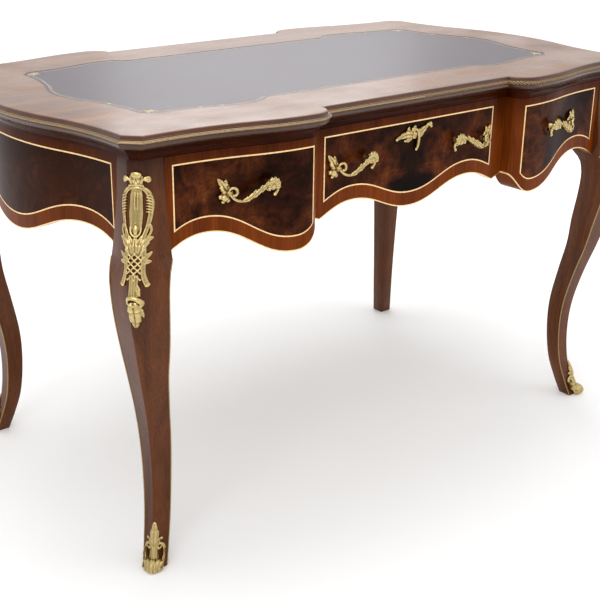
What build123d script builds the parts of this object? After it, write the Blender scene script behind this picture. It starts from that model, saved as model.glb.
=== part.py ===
from build123d import *
import math
import os

os.makedirs("parts", exist_ok=True)

# A serpentine flat-top writing desk: moulded top with a leather inset, three drawers in the
# front frieze, three sham drawers at the back, bowed ends and four cabriole legs with mounts.
# Millimetres. The origin is on the floor under the middle, +Z up, and the drawers face -Y.

# ------------------------------------------------------------------ driving dimensions
desk_height = 780.0
top_thickness = 23.0
cornice_depth = 19.0
drawer_gap = 1.0  # open joint round a drawer front
run_gap = 0.4  # clearance of a sliding face

# plan of the top's flat surface, a quarter of it
corner_x = 600.0
corner_y = 352.0
corner_cant = 22.0
pedestal_bow = 36.5  # how far the pedestals bow forward of the corners
shoulder_x = 270.5
shoulder_radius = 38.5
bow_end_inset = 60.0
bow_radius = 420.0
end_bow = 48.0  # how far each end bows outward
end_flat = 20.0
end_radius = 520.0

# plan of the leather
leather_border_x = 101.0  # from the top's edge to the leather's, at the corners
leather_border_y = 120.0
leather_middle_bow = 3.0
leather_cant = 19.0
leather_pedestal_bow = 25.0
leather_shoulder_shift = 31.5
leather_shoulder_radius = 60.0
leather_bow_end_inset = 29.0
leather_bow_radius = 240.0
leather_end_bow = 41.0
leather_end_flat = 12.0
leather_end_radius = 360.0
leather_thickness = 1.2
leather_recess = 0.4

# edge mouldings: distance out of the flat surface's edge, and depth under it
border_profile = [
    (-1.5, 23.0),
    (3.0, 21.6),
    (6.4, 18.6),
    (8.0, 14.6),
    (8.6, 14.2),
    (8.6, 12.2),
    (9.4, 11.8),
    (9.4, 7.8),
    (7.0, 7.0),
    (6.6, 5.2),
    (4.6, 4.8),
    (4.2, 2.2),
    (2.6, 0.6),
    (0.0, 0.0),
]
bead_top = 8.1
bead_height = 3.6
bead_inner = 7.4
bead_outer = 11.2
cove_profile = [(-13.6, 19.0), (-12.6, 14.5), (-9.6, 9.0), (-5.6, 4.5), (-3.6, 0.0)]

# frieze: its lower edges are measured down from its top
frieze_inset = 14.0
apron_thickness = 20.0
front_thickness = 20.0
skirt_spare = 9.0
cusp_drop = 150.0  # lower edge at the joint between the middle and side drawers
middle_lobe_drop = 174.0
middle_arch_x, middle_arch_drop = 145.0, 138.0
middle_end_inset, middle_end_drop = 26.0, 161.0
side_lobe_inset, side_lobe_drop = 52.0, 191.0
side_arch_inset, side_arch_drop = 72.0, 135.0
leg_end_drop = 159.0
end_lobe_drop = 178.0
end_arch_inset, end_arch_drop = 94.0, 130.0

# brass stringing and veneers
string_width = 2.4
string_depth = 1.6
string_proud = 0.3
string_lift = 26.0  # height of the stringing over the lower edge
string_drop = 15.0  # and its distance under the top edge
string_side = 15.0
string_joint = 16.0
middle_string_inset = 35.0
bead_width = 2.2
veneer = 1.0

# cabriole leg: height, outward sweep of the corner, width of the square, width of the cant
leg_pattern_height = 738.0  # the stations' heights stretch with the leg
leg_post = 52.0
knee_drop = 6.0  # the knee's inner curve ends this far under the apron's lower edge
foot_side = 30.0
leg_pattern = [
    (0.0, -1.0, foot_side, 4.0),
    (37.0, -11.0, 31.0, 4.0),
    (92.0, -22.7, 32.5, 4.5),
    (165.0, -27.3, 35.0, 5.0),
    (232.0, -23.8, 38.5, 5.5),
    (303.0, -11.5, 42.8, 6.0),
    (371.0, 4.8, 49.8, 7.0),
    (424.0, 16.0, 58.2, 8.5),
    (484.0, 28.0, 64.8, 11.0),
    (528.0, 32.6, 67.6, 13.0),
    (558.0, 30.4, 69.4, 15.0),
    (573.0, 27.4, 70.0, 16.2),
    (590.0, 23.0, 71.0, 17.2),
    (625.0, 14.5, 69.0, 19.0),
    (680.0, 4.5, 59.0, 21.0),
    (738.0, 0.0, 54.0, 21.0),
]

# drawers
drawer_length = 488.0
drawer_side = 10.0
drawer_bottom = 6.0
groove_depth = 5.0
groove_rise = 8.0
side_top_drop = 4.0
drawer_bay = 116.0  # from the top of the rail to the top of the frieze
rail_height = 12.0
rail_depth = 40.0
divider_thickness = 18.0
runner_width = 20.0
guide_width = 3.0
guide_height = 14.0
cross_rail_width = 66.0
frame_border_x = 81.0
frame_border_y = 70.0
stop_size = 12.0
block_size = 34.0
block_height = 60.0

# lock of the middle drawer
lock_width, lock_height, lock_case = 62.0, 40.0, 9.0
bolt_width, bolt_thickness, bolt_length = 22.0, 5.0, 26.0
bolt_travel = 8.0
keyhole_radius = 3.0

# mounts and pulls
mount_thickness = 4.0
boss_thickness = 7.0
toe_radius = 9.0
pull_standoff = 19.0
pull_bar = 3.2
pull_post = 4.2
pull_cap = 1.2  # how far a post's end stands over the bar
pull_drop = 70.0
side_pull_inset = 141.0
middle_pull_x = 150.0
escutcheon_drop = 41.0
escutcheon_thickness = 4.5

# screws that hold the top on its frame
screw_radius = 2.2
screw_head_radius = 4.5
screw_head_height = 3.0
screw_bite = 15.0
screw_x = 380.0

# ------------------------------------------------------------------ derived values
board_bottom = desk_height - top_thickness
frieze_top = board_bottom - cornice_depth
skirt_depth = max(side_lobe_drop, middle_lobe_drop, end_lobe_drop) + skirt_spare
skirt_low = frieze_top - skirt_depth
front_top = frieze_top - drawer_gap
face_x = corner_x - frieze_inset
face_y = corner_y - frieze_inset
inner_y = face_y - front_thickness
post_x = face_x - leg_post
post_y = face_y - leg_post
front_end_x = post_x - drawer_gap
pedestal_y = corner_y + pedestal_bow
frame_opening_x = face_x - frame_border_x
frame_opening_y = face_y - frame_border_y
joint_x = shoulder_x - (shoulder_radius - frieze_inset)  # joint of the middle and side drawers
leg_end_z = frieze_top - leg_end_drop
rail_top_z = frieze_top - drawer_bay
pull_z = frieze_top - pull_drop
side_pull_x = joint_x + side_pull_inset
escutcheon_z = frieze_top - escutcheon_drop
leg_stations = [
    (z * frieze_top / leg_pattern_height, sweep, width, cant) for z, sweep, width, cant in leg_pattern
]


class Plan:
    # A plan outline of lines and tangent arcs. Growing it keeps every arc's centre.
    def __init__(self, x, y, middle, cant, bow, shoulder, radius, bow_end, bow_r, end, flat, end_r):
        self.x, self.y, self.middle, self.cant = x, y, middle, cant
        self.shoulder, self.radius, self.shoulder_y = shoulder, radius, bow - radius
        self.bow, self.bow_end, self.bow_r = bow, bow_end, bow_r
        self.end, self.end_start, self.end_r = end, y - cant - flat, end_r
        self.bow_angle = 2 * math.atan((bow - y) / (bow_end - shoulder))
        self.hollow_r = (bow_end - shoulder) / math.sin(self.bow_angle) - bow_r
        self.end_angle = 2 * math.atan((end - x) / self.end_start)
        self.bulge_r = self.end_start / math.sin(self.end_angle) - end_r

    def draw(self, out):
        middle, r = self.middle + out, self.radius + out
        rise = middle - self.shoulder_y
        start = 180 + math.degrees(math.asin(rise / r)) if rise > 0 else 180
        inner_x = self.shoulder + r * math.cos(math.radians(start))
        Line((0, -middle), (inner_x, -middle))
        if rise <= 0:
            Line((inner_x, -middle), (inner_x, -self.shoulder_y))
        CenterArc((self.shoulder, -self.shoulder_y), r, start, 270 - start)
        bow, turn = math.degrees(self.bow_angle), math.degrees(self.end_angle)
        CenterArc((self.shoulder, self.bow_r - self.bow), self.bow_r + out, 270, bow)
        CenterArc((self.bow_end, -self.y - self.hollow_r), self.hollow_r - out, 90 + bow, -bow)
        slip = out * math.tan(math.pi / 8)
        Polyline(
            (self.bow_end, -self.y - out),
            (self.x - self.cant + slip, -self.y - out),
            (self.x + out, -self.y + self.cant - slip),
            (self.x + out, -self.end_start),
        )
        CenterArc((self.x + self.end_r, -self.end_start), self.end_r - out, 180, -turn)
        CenterArc((self.end - self.bulge_r, 0), self.bulge_r + out, -turn, turn)
        mirror(about=Plane.YZ)
        mirror(about=Plane.XZ)

    def front_y(self, x, out):
        # y of the front, between the shoulder and the end of the bow, at x > 0
        turn_x = self.shoulder + self.bow_r * math.sin(self.bow_angle)
        if x < turn_x:
            reach = math.sqrt((self.bow_r + out) ** 2 - (x - self.shoulder) ** 2)
            return -(self.bow - self.bow_r + reach)
        hollow = math.sqrt((self.hollow_r - out) ** 2 - (self.bow_end - x) ** 2)
        return -(self.y + self.hollow_r - hollow)

    def front_turn(self, x, out):
        # degrees that the front's face is turned from square at x > 0
        turn_x = self.shoulder + self.bow_r * math.sin(self.bow_angle)
        if x < turn_x:
            return math.degrees(math.asin((x - self.shoulder) / (self.bow_r + out)))
        return math.degrees(math.asin((self.bow_end - x) / (self.hollow_r - out)))


desk = Plan(
    corner_x, corner_y, corner_y, corner_cant, pedestal_y, shoulder_x, shoulder_radius,
    corner_x - bow_end_inset, bow_radius, corner_x + end_bow, end_flat, end_radius,
)
leather_corner_x = corner_x - leather_border_x
leather_corner_y = corner_y - leather_border_y
leather = Plan(
    leather_corner_x, leather_corner_y, leather_corner_y + leather_middle_bow, leather_cant,
    leather_corner_y + leather_pedestal_bow, shoulder_x + leather_shoulder_shift,
    leather_shoulder_radius, leather_corner_x - leather_bow_end_inset, leather_bow_radius,
    leather_corner_x + leather_end_bow, leather_end_flat, leather_end_radius,
)


def plan_slab(plan, out, low, high):
    with BuildPart() as slab:
        with BuildSketch(Plane.XY.offset(low)):
            with BuildLine():
                plan.draw(out)
            make_face()
        extrude(amount=high - low)
    return slab.part


def plan_ring(plan, outer, inner, low, high):
    with BuildPart() as ring:
        with BuildSketch(Plane.XY.offset(low)):
            with BuildLine():
                plan.draw(outer)
            make_face()
            with BuildLine():
                plan.draw(inner)
            make_face(mode=Mode.SUBTRACT)
        extrude(amount=high - low)
    return ring.part


def moulded_slab(plan, profile, top):
    with BuildPart() as slab:
        for out, drop in profile:
            with BuildSketch(Plane.XY.offset(top - drop)):
                with BuildLine():
                    plan.draw(out)
                make_face()
        loft(ruled=True)
    return slab.part


def save(piece, name):
    piece.part.label = name
    export_step(piece.part, f"parts/{name}.step")


# ------------------------------------------------------------------ top
bead_high = desk_height - bead_top
screw_grid = GridLocations(2 * screw_x, 2 * face_y - frame_border_y, 2, 2)
with BuildPart() as rope_bead:
    add(plan_ring(desk, bead_outer, bead_inner, bead_high - bead_height, bead_high))

with BuildPart() as top_border:
    add(moulded_slab(desk, border_profile, desk_height))
    add(plan_slab(leather, 0, board_bottom, desk_height), mode=Mode.SUBTRACT)
    add(rope_bead.part, mode=Mode.SUBTRACT)
    with BuildSketch(Plane.XY.offset(board_bottom)):
        with screw_grid:
            Circle(screw_radius)
    extrude(amount=screw_bite, mode=Mode.SUBTRACT)

leather_top = desk_height - leather_recess
leather_low = leather_top - leather_thickness
with BuildPart() as leather_inset:
    add(plan_slab(leather, 0, leather_low, leather_top))

with BuildPart() as writing_board:
    add(plan_slab(leather, 0, board_bottom, leather_low))

# ------------------------------------------------------------------ frame under the top
bolt_y = -(inner_y - lock_case / 2)
with BuildPart() as cornice_frame:
    add(moulded_slab(desk, cove_profile, board_bottom))
    with BuildSketch(Plane.XY.offset(frieze_top)):
        Rectangle(2 * frame_opening_x, 2 * frame_opening_y)
    extrude(amount=cornice_depth, mode=Mode.SUBTRACT)
    # mortise for the lock's bolt
    with BuildSketch(Plane.XY.offset(frieze_top)):
        with Locations((0, bolt_y)):
            Rectangle(bolt_width + 2 * drawer_gap, bolt_thickness + 2 * drawer_gap)
    extrude(amount=bolt_travel + 2 * drawer_gap, mode=Mode.SUBTRACT)
    # screws pass up through the frame into the top
    with BuildSketch(Plane.XY.offset(frieze_top)):
        with screw_grid:
            Circle(screw_head_radius + run_gap)
    extrude(amount=screw_head_height, mode=Mode.SUBTRACT)
    with BuildSketch(Plane.XY.offset(frieze_top)):
        with screw_grid:
            Circle(screw_radius)
    extrude(amount=cornice_depth, mode=Mode.SUBTRACT)

with BuildPart() as frame_screws:
    with BuildSketch(Plane.XY.offset(frieze_top + run_gap)):
        with screw_grid:
            Circle(screw_head_radius)
    extrude(amount=screw_head_height - run_gap)
    with BuildSketch(Plane.XY.offset(frieze_top + screw_head_height)):
        with screw_grid:
            Circle(screw_radius)
    extrude(amount=cornice_depth - screw_head_height + screw_bite)

cross_rail_x = joint_x + divider_thickness / 2
with BuildPart() as cross_rails:
    with BuildSketch(Plane.XY.offset(frieze_top)):
        with Locations((cross_rail_x, 0), (-cross_rail_x, 0)):
            Rectangle(cross_rail_width, 2 * frame_opening_y)
    extrude(amount=cornice_depth)


# ------------------------------------------------------------------ legs
# local x runs along the front, along the end, and out through the leg's corner
leg_front_plane = Plane(origin=(face_x, -face_y, 0), x_dir=(1, 0, 0), z_dir=(0, -1, 0))
leg_end_plane = Plane(origin=(face_x, -face_y, 0), x_dir=(0, -1, 0), z_dir=(-1, 0, 0))
leg_corner_plane = Plane(origin=(face_x, -face_y, 0), x_dir=(1, -1, 0), z_dir=(-1, -1, 0))
reach = 100.0  # more than any leg station measures
overrun = 5.0


def climbing_face(outer, inner, shelf):
    # face between two curves that climb the leg, drawn a little past the leg's ends. From the
    # inner curve's end it steps to the shelf's corner, and goes straight up from there.
    foot, head = -overrun, frieze_top + overrun
    with BuildSketch() as face:
        with BuildLine():
            Spline(*outer)
            Spline(*inner)
            Polyline(outer[-1], (outer[-1][0], head), (shelf[0], head), shelf, inner[-1])
            Polyline(outer[0], (outer[0][0], foot), (inner[0][0], foot), inner[0])
        make_face()
    return face.sketch


def leg_body(grow):
    # The leg at +X -Y. Growing it moves its two outer faces and its cant out by the same amount.
    outer = [(sweep + grow, z) for z, sweep, width, cant in leg_stations]
    inner = [
        (sweep - width, z) for z, sweep, width, cant in leg_stations if z < leg_end_z - knee_drop / 2
    ]
    shelf = (-leg_post, leg_end_z)
    cant_face = [
        (math.sqrt(2) * sweep - cant / math.sqrt(2) + grow, z) for z, sweep, width, cant in leg_stations
    ]
    with BuildPart() as body:
        with BuildSketch(leg_front_plane.offset(-reach)):
            add(climbing_face(outer, inner, shelf))
        extrude(amount=2 * reach)
        with BuildSketch(leg_end_plane.offset(-reach)):
            add(climbing_face(outer, inner, shelf))
        extrude(amount=2 * reach, mode=Mode.INTERSECT)
        with BuildSketch(leg_corner_plane.offset(-reach)):
            add(climbing_face(cant_face, [(-reach, 0), (-reach, leg_end_z)], (-reach, leg_end_z + knee_drop)))
        extrude(amount=2 * reach, mode=Mode.INTERSECT)
        with BuildSketch():
            with Locations((face_x, -face_y)):
                Rectangle(2 * reach, 2 * reach)
        extrude(amount=frieze_top, mode=Mode.INTERSECT)
    return body.part


leg_core = leg_body(0)
with BuildPart() as leg_front_right:
    add(leg_core)
with BuildPart() as leg_front_left:
    add(leg_front_right.part.mirror(Plane.YZ))
with BuildPart() as leg_back_right:
    add(leg_front_right.part.mirror(Plane.XZ))
with BuildPart() as leg_back_left:
    add(leg_front_left.part.mirror(Plane.XZ))


# ------------------------------------------------------------------ frieze elevations
def draw_side_edge(low):
    # lower edge of a side drawer, from the cusp to the leg, x > 0, under a level
    cusp = (joint_x, low - cusp_drop)
    lobe = (joint_x + side_lobe_inset, low - side_lobe_drop)
    arch = (post_x - side_arch_inset, low - side_arch_drop)
    leg = (post_x, low - leg_end_drop)
    Spline(cusp, lobe, tangents=[(0.55, -0.8), (1, 0)])
    Spline(lobe, arch, tangents=[(1, 0), (1, 0)])
    Spline(arch, leg, tangents=[(1, 0), (0.9, -0.5)])


def draw_middle_edge(low):
    # lower edge of the middle drawer's right half, from its centre lobe to the cusp
    lobe, arch = (0, low - middle_lobe_drop), (middle_arch_x, low - middle_arch_drop)
    point, cusp = (joint_x - middle_end_inset, low - middle_end_drop), (joint_x, low - cusp_drop)
    Spline(lobe, arch, tangents=[(1, 0), (1, 0)])
    Spline(arch, point, tangents=[(1, 0), (0.8, -0.35)])
    Line(point, cusp)


def draw_end_edge(low):
    # lower edge of half an end apron, from its centre lobe to the leg, y > 0
    lobe, arch = (0, low - end_lobe_drop), (post_y - end_arch_inset, low - end_arch_drop)
    leg = (post_y, low - leg_end_drop)
    Spline(lobe, arch, tangents=[(1, 0), (1, 0)])
    Spline(arch, leg, tangents=[(1, 0), (0.9, -0.7)])


def side_elevation(lift, top, low_x, high_x):
    with BuildSketch() as face:
        with BuildLine():
            draw_side_edge(frieze_top + lift)
            leg_low, cusp_low = leg_end_z + lift, frieze_top - cusp_drop + lift
            Polyline((post_x, leg_low), (post_x, top), (joint_x, top), (joint_x, cusp_low))
        make_face()
        with Locations(((low_x + high_x) / 2, top)):
            Rectangle(high_x - low_x, skirt_depth, align=(Align.CENTER, Align.MAX), mode=Mode.INTERSECT)
    return face.sketch


def middle_elevation(lift, top, half_width):
    with BuildSketch() as face:
        with BuildLine():
            draw_middle_edge(frieze_top + lift)
            Polyline((joint_x, frieze_top - cusp_drop + lift), (joint_x, top), (0, top))
            mirror(about=Plane.YZ)
        make_face()
        with Locations((0, top)):
            Rectangle(2 * half_width, skirt_depth, align=(Align.CENTER, Align.MAX), mode=Mode.INTERSECT)
    return face.sketch


def end_elevation(lift, top, half_width):
    with BuildSketch() as face:
        with BuildLine():
            draw_end_edge(frieze_top + lift)
            Polyline((post_y, leg_end_z + lift), (post_y, top), (0, top))
            mirror(about=Plane.YZ)
        make_face()
        with Locations((0, top)):
            Rectangle(2 * half_width, skirt_depth, align=(Align.CENTER, Align.MAX), mode=Mode.INTERSECT)
    return face.sketch


string_shell = plan_ring(
    desk, string_proud - frieze_inset, -string_depth - frieze_inset, skirt_low, frieze_top
)
veneer_shell = plan_ring(desk, -frieze_inset, -veneer - frieze_inset, skirt_low, frieze_top)
frieze_slab = plan_slab(desk, -frieze_inset, skirt_low, frieze_top)
sweep_depth = pedestal_y
front_plane = Plane.XZ.offset(inner_y)
back_plane = Plane.XZ.offset(-inner_y)
end_plane = Plane.YZ.offset(frame_opening_x)


def pressed(shape, plane, amount, solid):
    # an elevation pushed through a solid
    with BuildPart() as prism:
        with BuildSketch(plane):
            add(shape)
        extrude(amount=amount)
    return prism.part & solid


def band(shape, inner):
    # what is left of a shape round an inner one: stringing, or the bead of a lower edge
    with BuildSketch() as line:
        add(shape)
        add(inner, mode=Mode.SUBTRACT)
    return line.sketch


string_top = frieze_top - string_drop
string_low_x = joint_x + string_joint
string_high_x = post_x - string_side
string_end_y = post_y - string_side
field_lift, field_top = string_lift + string_width, string_top - string_width
side_low_x = joint_x + drawer_gap / 2
middle_high_x = joint_x - drawer_gap / 2
side_front = side_elevation(0, front_top, side_low_x, front_end_x)
side_raised = side_elevation(bead_width, front_top, side_low_x, front_end_x)
side_frame = side_elevation(string_lift, string_top, string_low_x, string_high_x)
side_field = side_elevation(
    field_lift, field_top, string_low_x + string_width, string_high_x - string_width
)
middle_front = middle_elevation(0, front_top, middle_high_x)
middle_raised = middle_elevation(bead_width, front_top, middle_high_x)
middle_frame = middle_elevation(string_lift, string_top, joint_x - middle_string_inset)
middle_field = middle_elevation(
    field_lift, field_top, joint_x - middle_string_inset - string_width
)
end_front = end_elevation(0, frieze_top, post_y)
end_raised = end_elevation(bead_width, frieze_top, post_y)
end_frame = end_elevation(string_lift, string_top, string_end_y)
end_field = end_elevation(field_lift, field_top, string_end_y - string_width)

# ------------------------------------------------------------------ end aprons
with BuildPart() as end_stringing:
    add(pressed(band(end_frame, end_field), end_plane, sweep_depth, string_shell), clean=False)
    add(pressed(band(end_front, end_raised), end_plane, sweep_depth, string_shell), clean=False)

with BuildPart() as end_veneer:
    add(pressed(end_field, end_plane, sweep_depth, veneer_shell), clean=False)

apron_shell = plan_ring(desk, -frieze_inset, -frieze_inset - apron_thickness, skirt_low, frieze_top)
with BuildPart() as apron_right:
    add(pressed(end_front, end_plane, sweep_depth, apron_shell), clean=False)
    add(end_stringing.part, clean=False, mode=Mode.SUBTRACT)
    add(end_veneer.part, clean=False, mode=Mode.SUBTRACT)

with BuildPart() as apron_left:
    add(apron_right.part.mirror(Plane.YZ), clean=False)
with BuildPart() as end_stringing_pair:
    add(end_stringing.part, clean=False)
    add(end_stringing.part.mirror(Plane.YZ), clean=False)
with BuildPart() as end_veneer_pair:
    add(end_veneer.part, clean=False)
    add(end_veneer.part.mirror(Plane.YZ), clean=False)

# ------------------------------------------------------------------ drawer fronts
with BuildPart() as string_right:
    add(pressed(band(side_frame, side_field), front_plane, sweep_depth, string_shell), clean=False)
    add(pressed(band(side_front, side_raised), front_plane, sweep_depth, string_shell), clean=False)

with BuildPart() as veneer_right:
    add(pressed(side_field, front_plane, sweep_depth, veneer_shell), clean=False)

with BuildPart() as front_right:
    add(pressed(side_front, front_plane, sweep_depth, frieze_slab), clean=False)
    add(string_right.part, clean=False, mode=Mode.SUBTRACT)
    add(veneer_right.part, clean=False, mode=Mode.SUBTRACT)

with BuildPart() as string_left:
    add(string_right.part.mirror(Plane.YZ), clean=False)
with BuildPart() as veneer_left:
    add(veneer_right.part.mirror(Plane.YZ), clean=False)
with BuildPart() as front_left:
    add(front_right.part.mirror(Plane.YZ), clean=False)

with BuildPart() as string_middle:
    add(pressed(band(middle_frame, middle_field), front_plane, sweep_depth, string_shell), clean=False)
    add(pressed(band(middle_front, middle_raised), front_plane, sweep_depth, string_shell), clean=False)

keyhole_plane = Plane.XZ.offset(inner_y - lock_case / 2)
with BuildPart() as keyhole:
    with BuildSketch(keyhole_plane):
        with Locations((0, escutcheon_z)):
            Circle(keyhole_radius)
    extrude(amount=front_thickness + lock_case)

with BuildPart() as veneer_middle:
    add(pressed(middle_field, front_plane, sweep_depth, veneer_shell), clean=False)
    add(keyhole.part, clean=False, mode=Mode.SUBTRACT)

with BuildPart() as front_middle:
    add(pressed(middle_front, front_plane, sweep_depth, frieze_slab), clean=False)
    add(string_middle.part, clean=False, mode=Mode.SUBTRACT)
    add(veneer_middle.part, clean=False, mode=Mode.SUBTRACT)
    add(keyhole.part, clean=False, mode=Mode.SUBTRACT)

# ------------------------------------------------------------------ back apron, three sham fronts
middle_back = middle_elevation(0, frieze_top, joint_x)
side_back = side_elevation(0, frieze_top, joint_x, post_x)
with BuildSketch() as back_elevation:
    add(middle_back)
    add(side_back)
    mirror(side_back, about=Plane.YZ)

with BuildSketch() as back_fields:
    add(middle_field)
    add(side_field)
    mirror(side_field, about=Plane.YZ)

with BuildPart() as back_stringing:
    for line in (string_right, string_middle, string_left):
        add(line.part.mirror(Plane.XZ), clean=False)

with BuildPart() as back_veneer:
    add(pressed(back_fields.sketch, back_plane, -sweep_depth, veneer_shell), clean=False)

with BuildPart() as back_apron:
    add(pressed(back_elevation.sketch, back_plane, -sweep_depth, frieze_slab), clean=False)
    add(back_stringing.part, clean=False, mode=Mode.SUBTRACT)
    add(back_veneer.part, clean=False, mode=Mode.SUBTRACT)
    # the open joints of the sham fronts
    with BuildSketch(Plane.XY.offset(skirt_low)):
        with Locations((joint_x, face_y), (-joint_x, face_y)):
            Rectangle(drawer_gap, 4 * drawer_gap)
    extrude(amount=skirt_depth, clean=False, mode=Mode.SUBTRACT)

# ------------------------------------------------------------------ carcase inside
rail_low = rail_top_z - rail_height
rail_front_y = -(inner_y - drawer_gap)
rail_back_y = rail_front_y + rail_depth
drawer_back_y = -inner_y + drawer_length


def block(low_x, high_x, low_y, high_y, low_z, high_z, mode=Mode.ADD):
    # a plain board given by its faces
    with BuildSketch(Plane.XY.offset(low_z)) as footprint:
        with Locations(((low_x + high_x) / 2, (low_y + high_y) / 2)):
            Rectangle(high_x - low_x, high_y - low_y)
    extrude(footprint.sketch, amount=high_z - low_z, mode=mode)


with BuildPart() as front_rail:
    block(-post_x, post_x, rail_front_y, rail_back_y, rail_low, rail_top_z)

divider_low_x = joint_x - divider_thickness / 2
divider_high_x = joint_x + divider_thickness / 2
with BuildPart() as divider_right:
    block(divider_low_x, divider_high_x, rail_front_y, inner_y, rail_top_z, frieze_top)
with BuildPart() as divider_left:
    add(divider_right.part.mirror(Plane.YZ))

with BuildPart() as middle_runners:
    low_x, high_x = divider_low_x - runner_width, divider_high_x + runner_width
    block(low_x, high_x, rail_back_y, inner_y, rail_low, rail_top_z)
    mirror(about=Plane.YZ)

guide_x = post_x - guide_width
with BuildPart() as outer_runners:
    block(guide_x - runner_width, post_x, rail_back_y, inner_y, rail_low, rail_top_z)
    block(guide_x, post_x, rail_back_y, inner_y, rail_top_z, rail_top_z + guide_height)
    mirror(about=Plane.YZ)

middle_box_x = divider_low_x - drawer_gap
side_box_low, side_box_high = divider_high_x + drawer_gap, guide_x - drawer_gap
stop_y = drawer_back_y + run_gap
with BuildPart() as drawer_stops:
    for x in (middle_box_x - stop_size, side_box_low, side_box_high - stop_size):
        block(x, x + stop_size, stop_y, stop_y + stop_size, rail_top_z, rail_top_z + stop_size)
    mirror(about=Plane.YZ)

with BuildPart() as corner_blocks:
    low_x, high_x = post_x, face_x - apron_thickness
    low_z = frieze_top - block_height
    block(low_x, high_x, -post_y, -post_y + block_size, low_z, frieze_top)
    mirror(about=Plane.YZ)
    mirror(about=Plane.XZ)

# ------------------------------------------------------------------ drawer boxes
box_low = rail_top_z + run_gap
box_high = frieze_top - side_top_drop
groove_low = box_low + groove_rise
groove_high = groove_low + drawer_bottom
drawer_spans = {
    "left": (-side_box_high, -side_box_low),
    "middle": (-middle_box_x, middle_box_x),
    "right": (side_box_low, side_box_high),
}
for drawer, (low_x, high_x) in drawer_spans.items():
    inner_low, inner_high = low_x + drawer_side, high_x - drawer_side
    groove_left, groove_right = inner_low - groove_depth, inner_high + groove_depth
    with BuildPart() as sides:
        block(low_x, inner_low, -inner_y, drawer_back_y, box_low, box_high)
        block(inner_high, high_x, -inner_y, drawer_back_y, box_low, box_high)
        block(
            groove_left, groove_right, -inner_y, drawer_back_y, groove_low, groove_high, Mode.SUBTRACT
        )
    save(sides, f"drawer_{drawer}_sides")
    with BuildPart() as back:
        block(
            inner_low, inner_high, drawer_back_y - drawer_side, drawer_back_y, groove_high, box_high
        )
    save(back, f"drawer_{drawer}_back")
    with BuildPart() as bottom:
        block(groove_left, groove_right, -inner_y, drawer_back_y, groove_low, groove_high)
    save(bottom, f"drawer_{drawer}_bottom")

# ------------------------------------------------------------------ lock
case_high = front_top - drawer_gap
bolt_low = case_high - bolt_length
with BuildPart() as lock_case_part:
    half = lock_width / 2
    block(-half, half, -inner_y, -inner_y + lock_case, case_high - lock_height, case_high)
    half = bolt_width / 2 + run_gap
    low_y, high_y = bolt_y - bolt_thickness / 2 - run_gap, bolt_y + bolt_thickness / 2 + run_gap
    block(-half, half, low_y, high_y, bolt_low - run_gap, case_high, Mode.SUBTRACT)
    add(keyhole.part, mode=Mode.SUBTRACT)

with BuildPart() as lock_bolt:
    half = bolt_width / 2
    low_y, high_y = bolt_y - bolt_thickness / 2, bolt_y + bolt_thickness / 2
    block(-half, half, low_y, high_y, bolt_low, case_high)


# ------------------------------------------------------------------ pulls and escutcheon
def oval(centre, long, short, turn):
    with Locations(centre):
        Ellipse(long, short, rotation=turn)


def make_pull(plane):
    # An asymmetrical cast pull: leaf, scroll and knob at one end, a wavy bar, leaves at the other.
    with BuildPart() as pull:
        with BuildSketch(plane.offset(-mount_thickness)):
            oval((-45, 9), 18, 6.5, 122)
            oval((-34, -3), 8.5, 8.5, 0)
            oval((-45, -11), 6.5, 6.5, 0)
            oval((37, 5), 18, 8, 25)
            oval((47, -12), 15, 4, 105)
        extrude(amount=2 * mount_thickness + pull_bar)
        with BuildSketch(plane.offset(-mount_thickness)):
            with Locations((-34, -4), (31, 5)):
                Circle(pull_post)
        extrude(amount=mount_thickness + pull_standoff + pull_bar + pull_cap)
        with BuildLine(plane.offset(pull_standoff)) as bar:
            FilletPolyline((-34, -4), (-22, -15), (-4, -14), (18, 3), (31, 5), radius=9)
        with BuildSketch(Plane(bar.line @ 0, z_dir=bar.line % 0)):
            Circle(pull_bar)
        sweep(path=bar.line)
        add(frieze_slab, mode=Mode.SUBTRACT)
    return pull.part


turn = math.radians(desk.front_turn(side_pull_x, -frieze_inset))
side_pull_plane = Plane(
    origin=(-side_pull_x, desk.front_y(side_pull_x, -frieze_inset), pull_z),
    x_dir=(math.cos(turn), -math.sin(turn), 0),
    z_dir=(-math.sin(turn), -math.cos(turn), 0),
)
middle_pull_plane = Plane(origin=(-middle_pull_x, -face_y, pull_z), x_dir=(1, 0, 0), z_dir=(0, -1, 0))

with BuildPart() as pull_left:
    add(make_pull(side_pull_plane))
with BuildPart() as pull_right:
    add(pull_left.part.mirror(Plane.YZ))
with BuildPart() as pulls_middle:
    add(make_pull(middle_pull_plane))
    mirror(about=Plane.YZ)
with BuildPart() as pulls_back:
    add(pull_left.part.mirror(Plane.XZ))
    add(pull_right.part.mirror(Plane.XZ))
    add(pulls_middle.part.mirror(Plane.XZ))

with BuildPart() as escutcheon:
    with BuildSketch(Plane.XZ.offset(face_y)):
        with Locations((0, escutcheon_z)):
            with Locations((-24, 2)):
                Ellipse(25, 8, rotation=8)
            with Locations((25, 5)):
                Ellipse(26, 7, rotation=24)
            with Locations((3, -10)):
                Ellipse(18, 5, rotation=70)
            Circle(11)
    extrude(amount=escutcheon_thickness)
    add(keyhole.part, mode=Mode.SUBTRACT)

# ------------------------------------------------------------------ corner mounts and shoes
thin_skin = leg_body(mount_thickness)
thick_skin = leg_body(boss_thickness)
# local x runs across the leg's corner and local y is height
chute_plane = Plane(origin=(face_x, -face_y, frieze_top), x_dir=(1, 1, 0), z_dir=(1, -1, 0))
shoe_plane = Plane(origin=(face_x, -face_y, 0), x_dir=(1, 1, 0), z_dir=(1, -1, 0))


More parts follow.
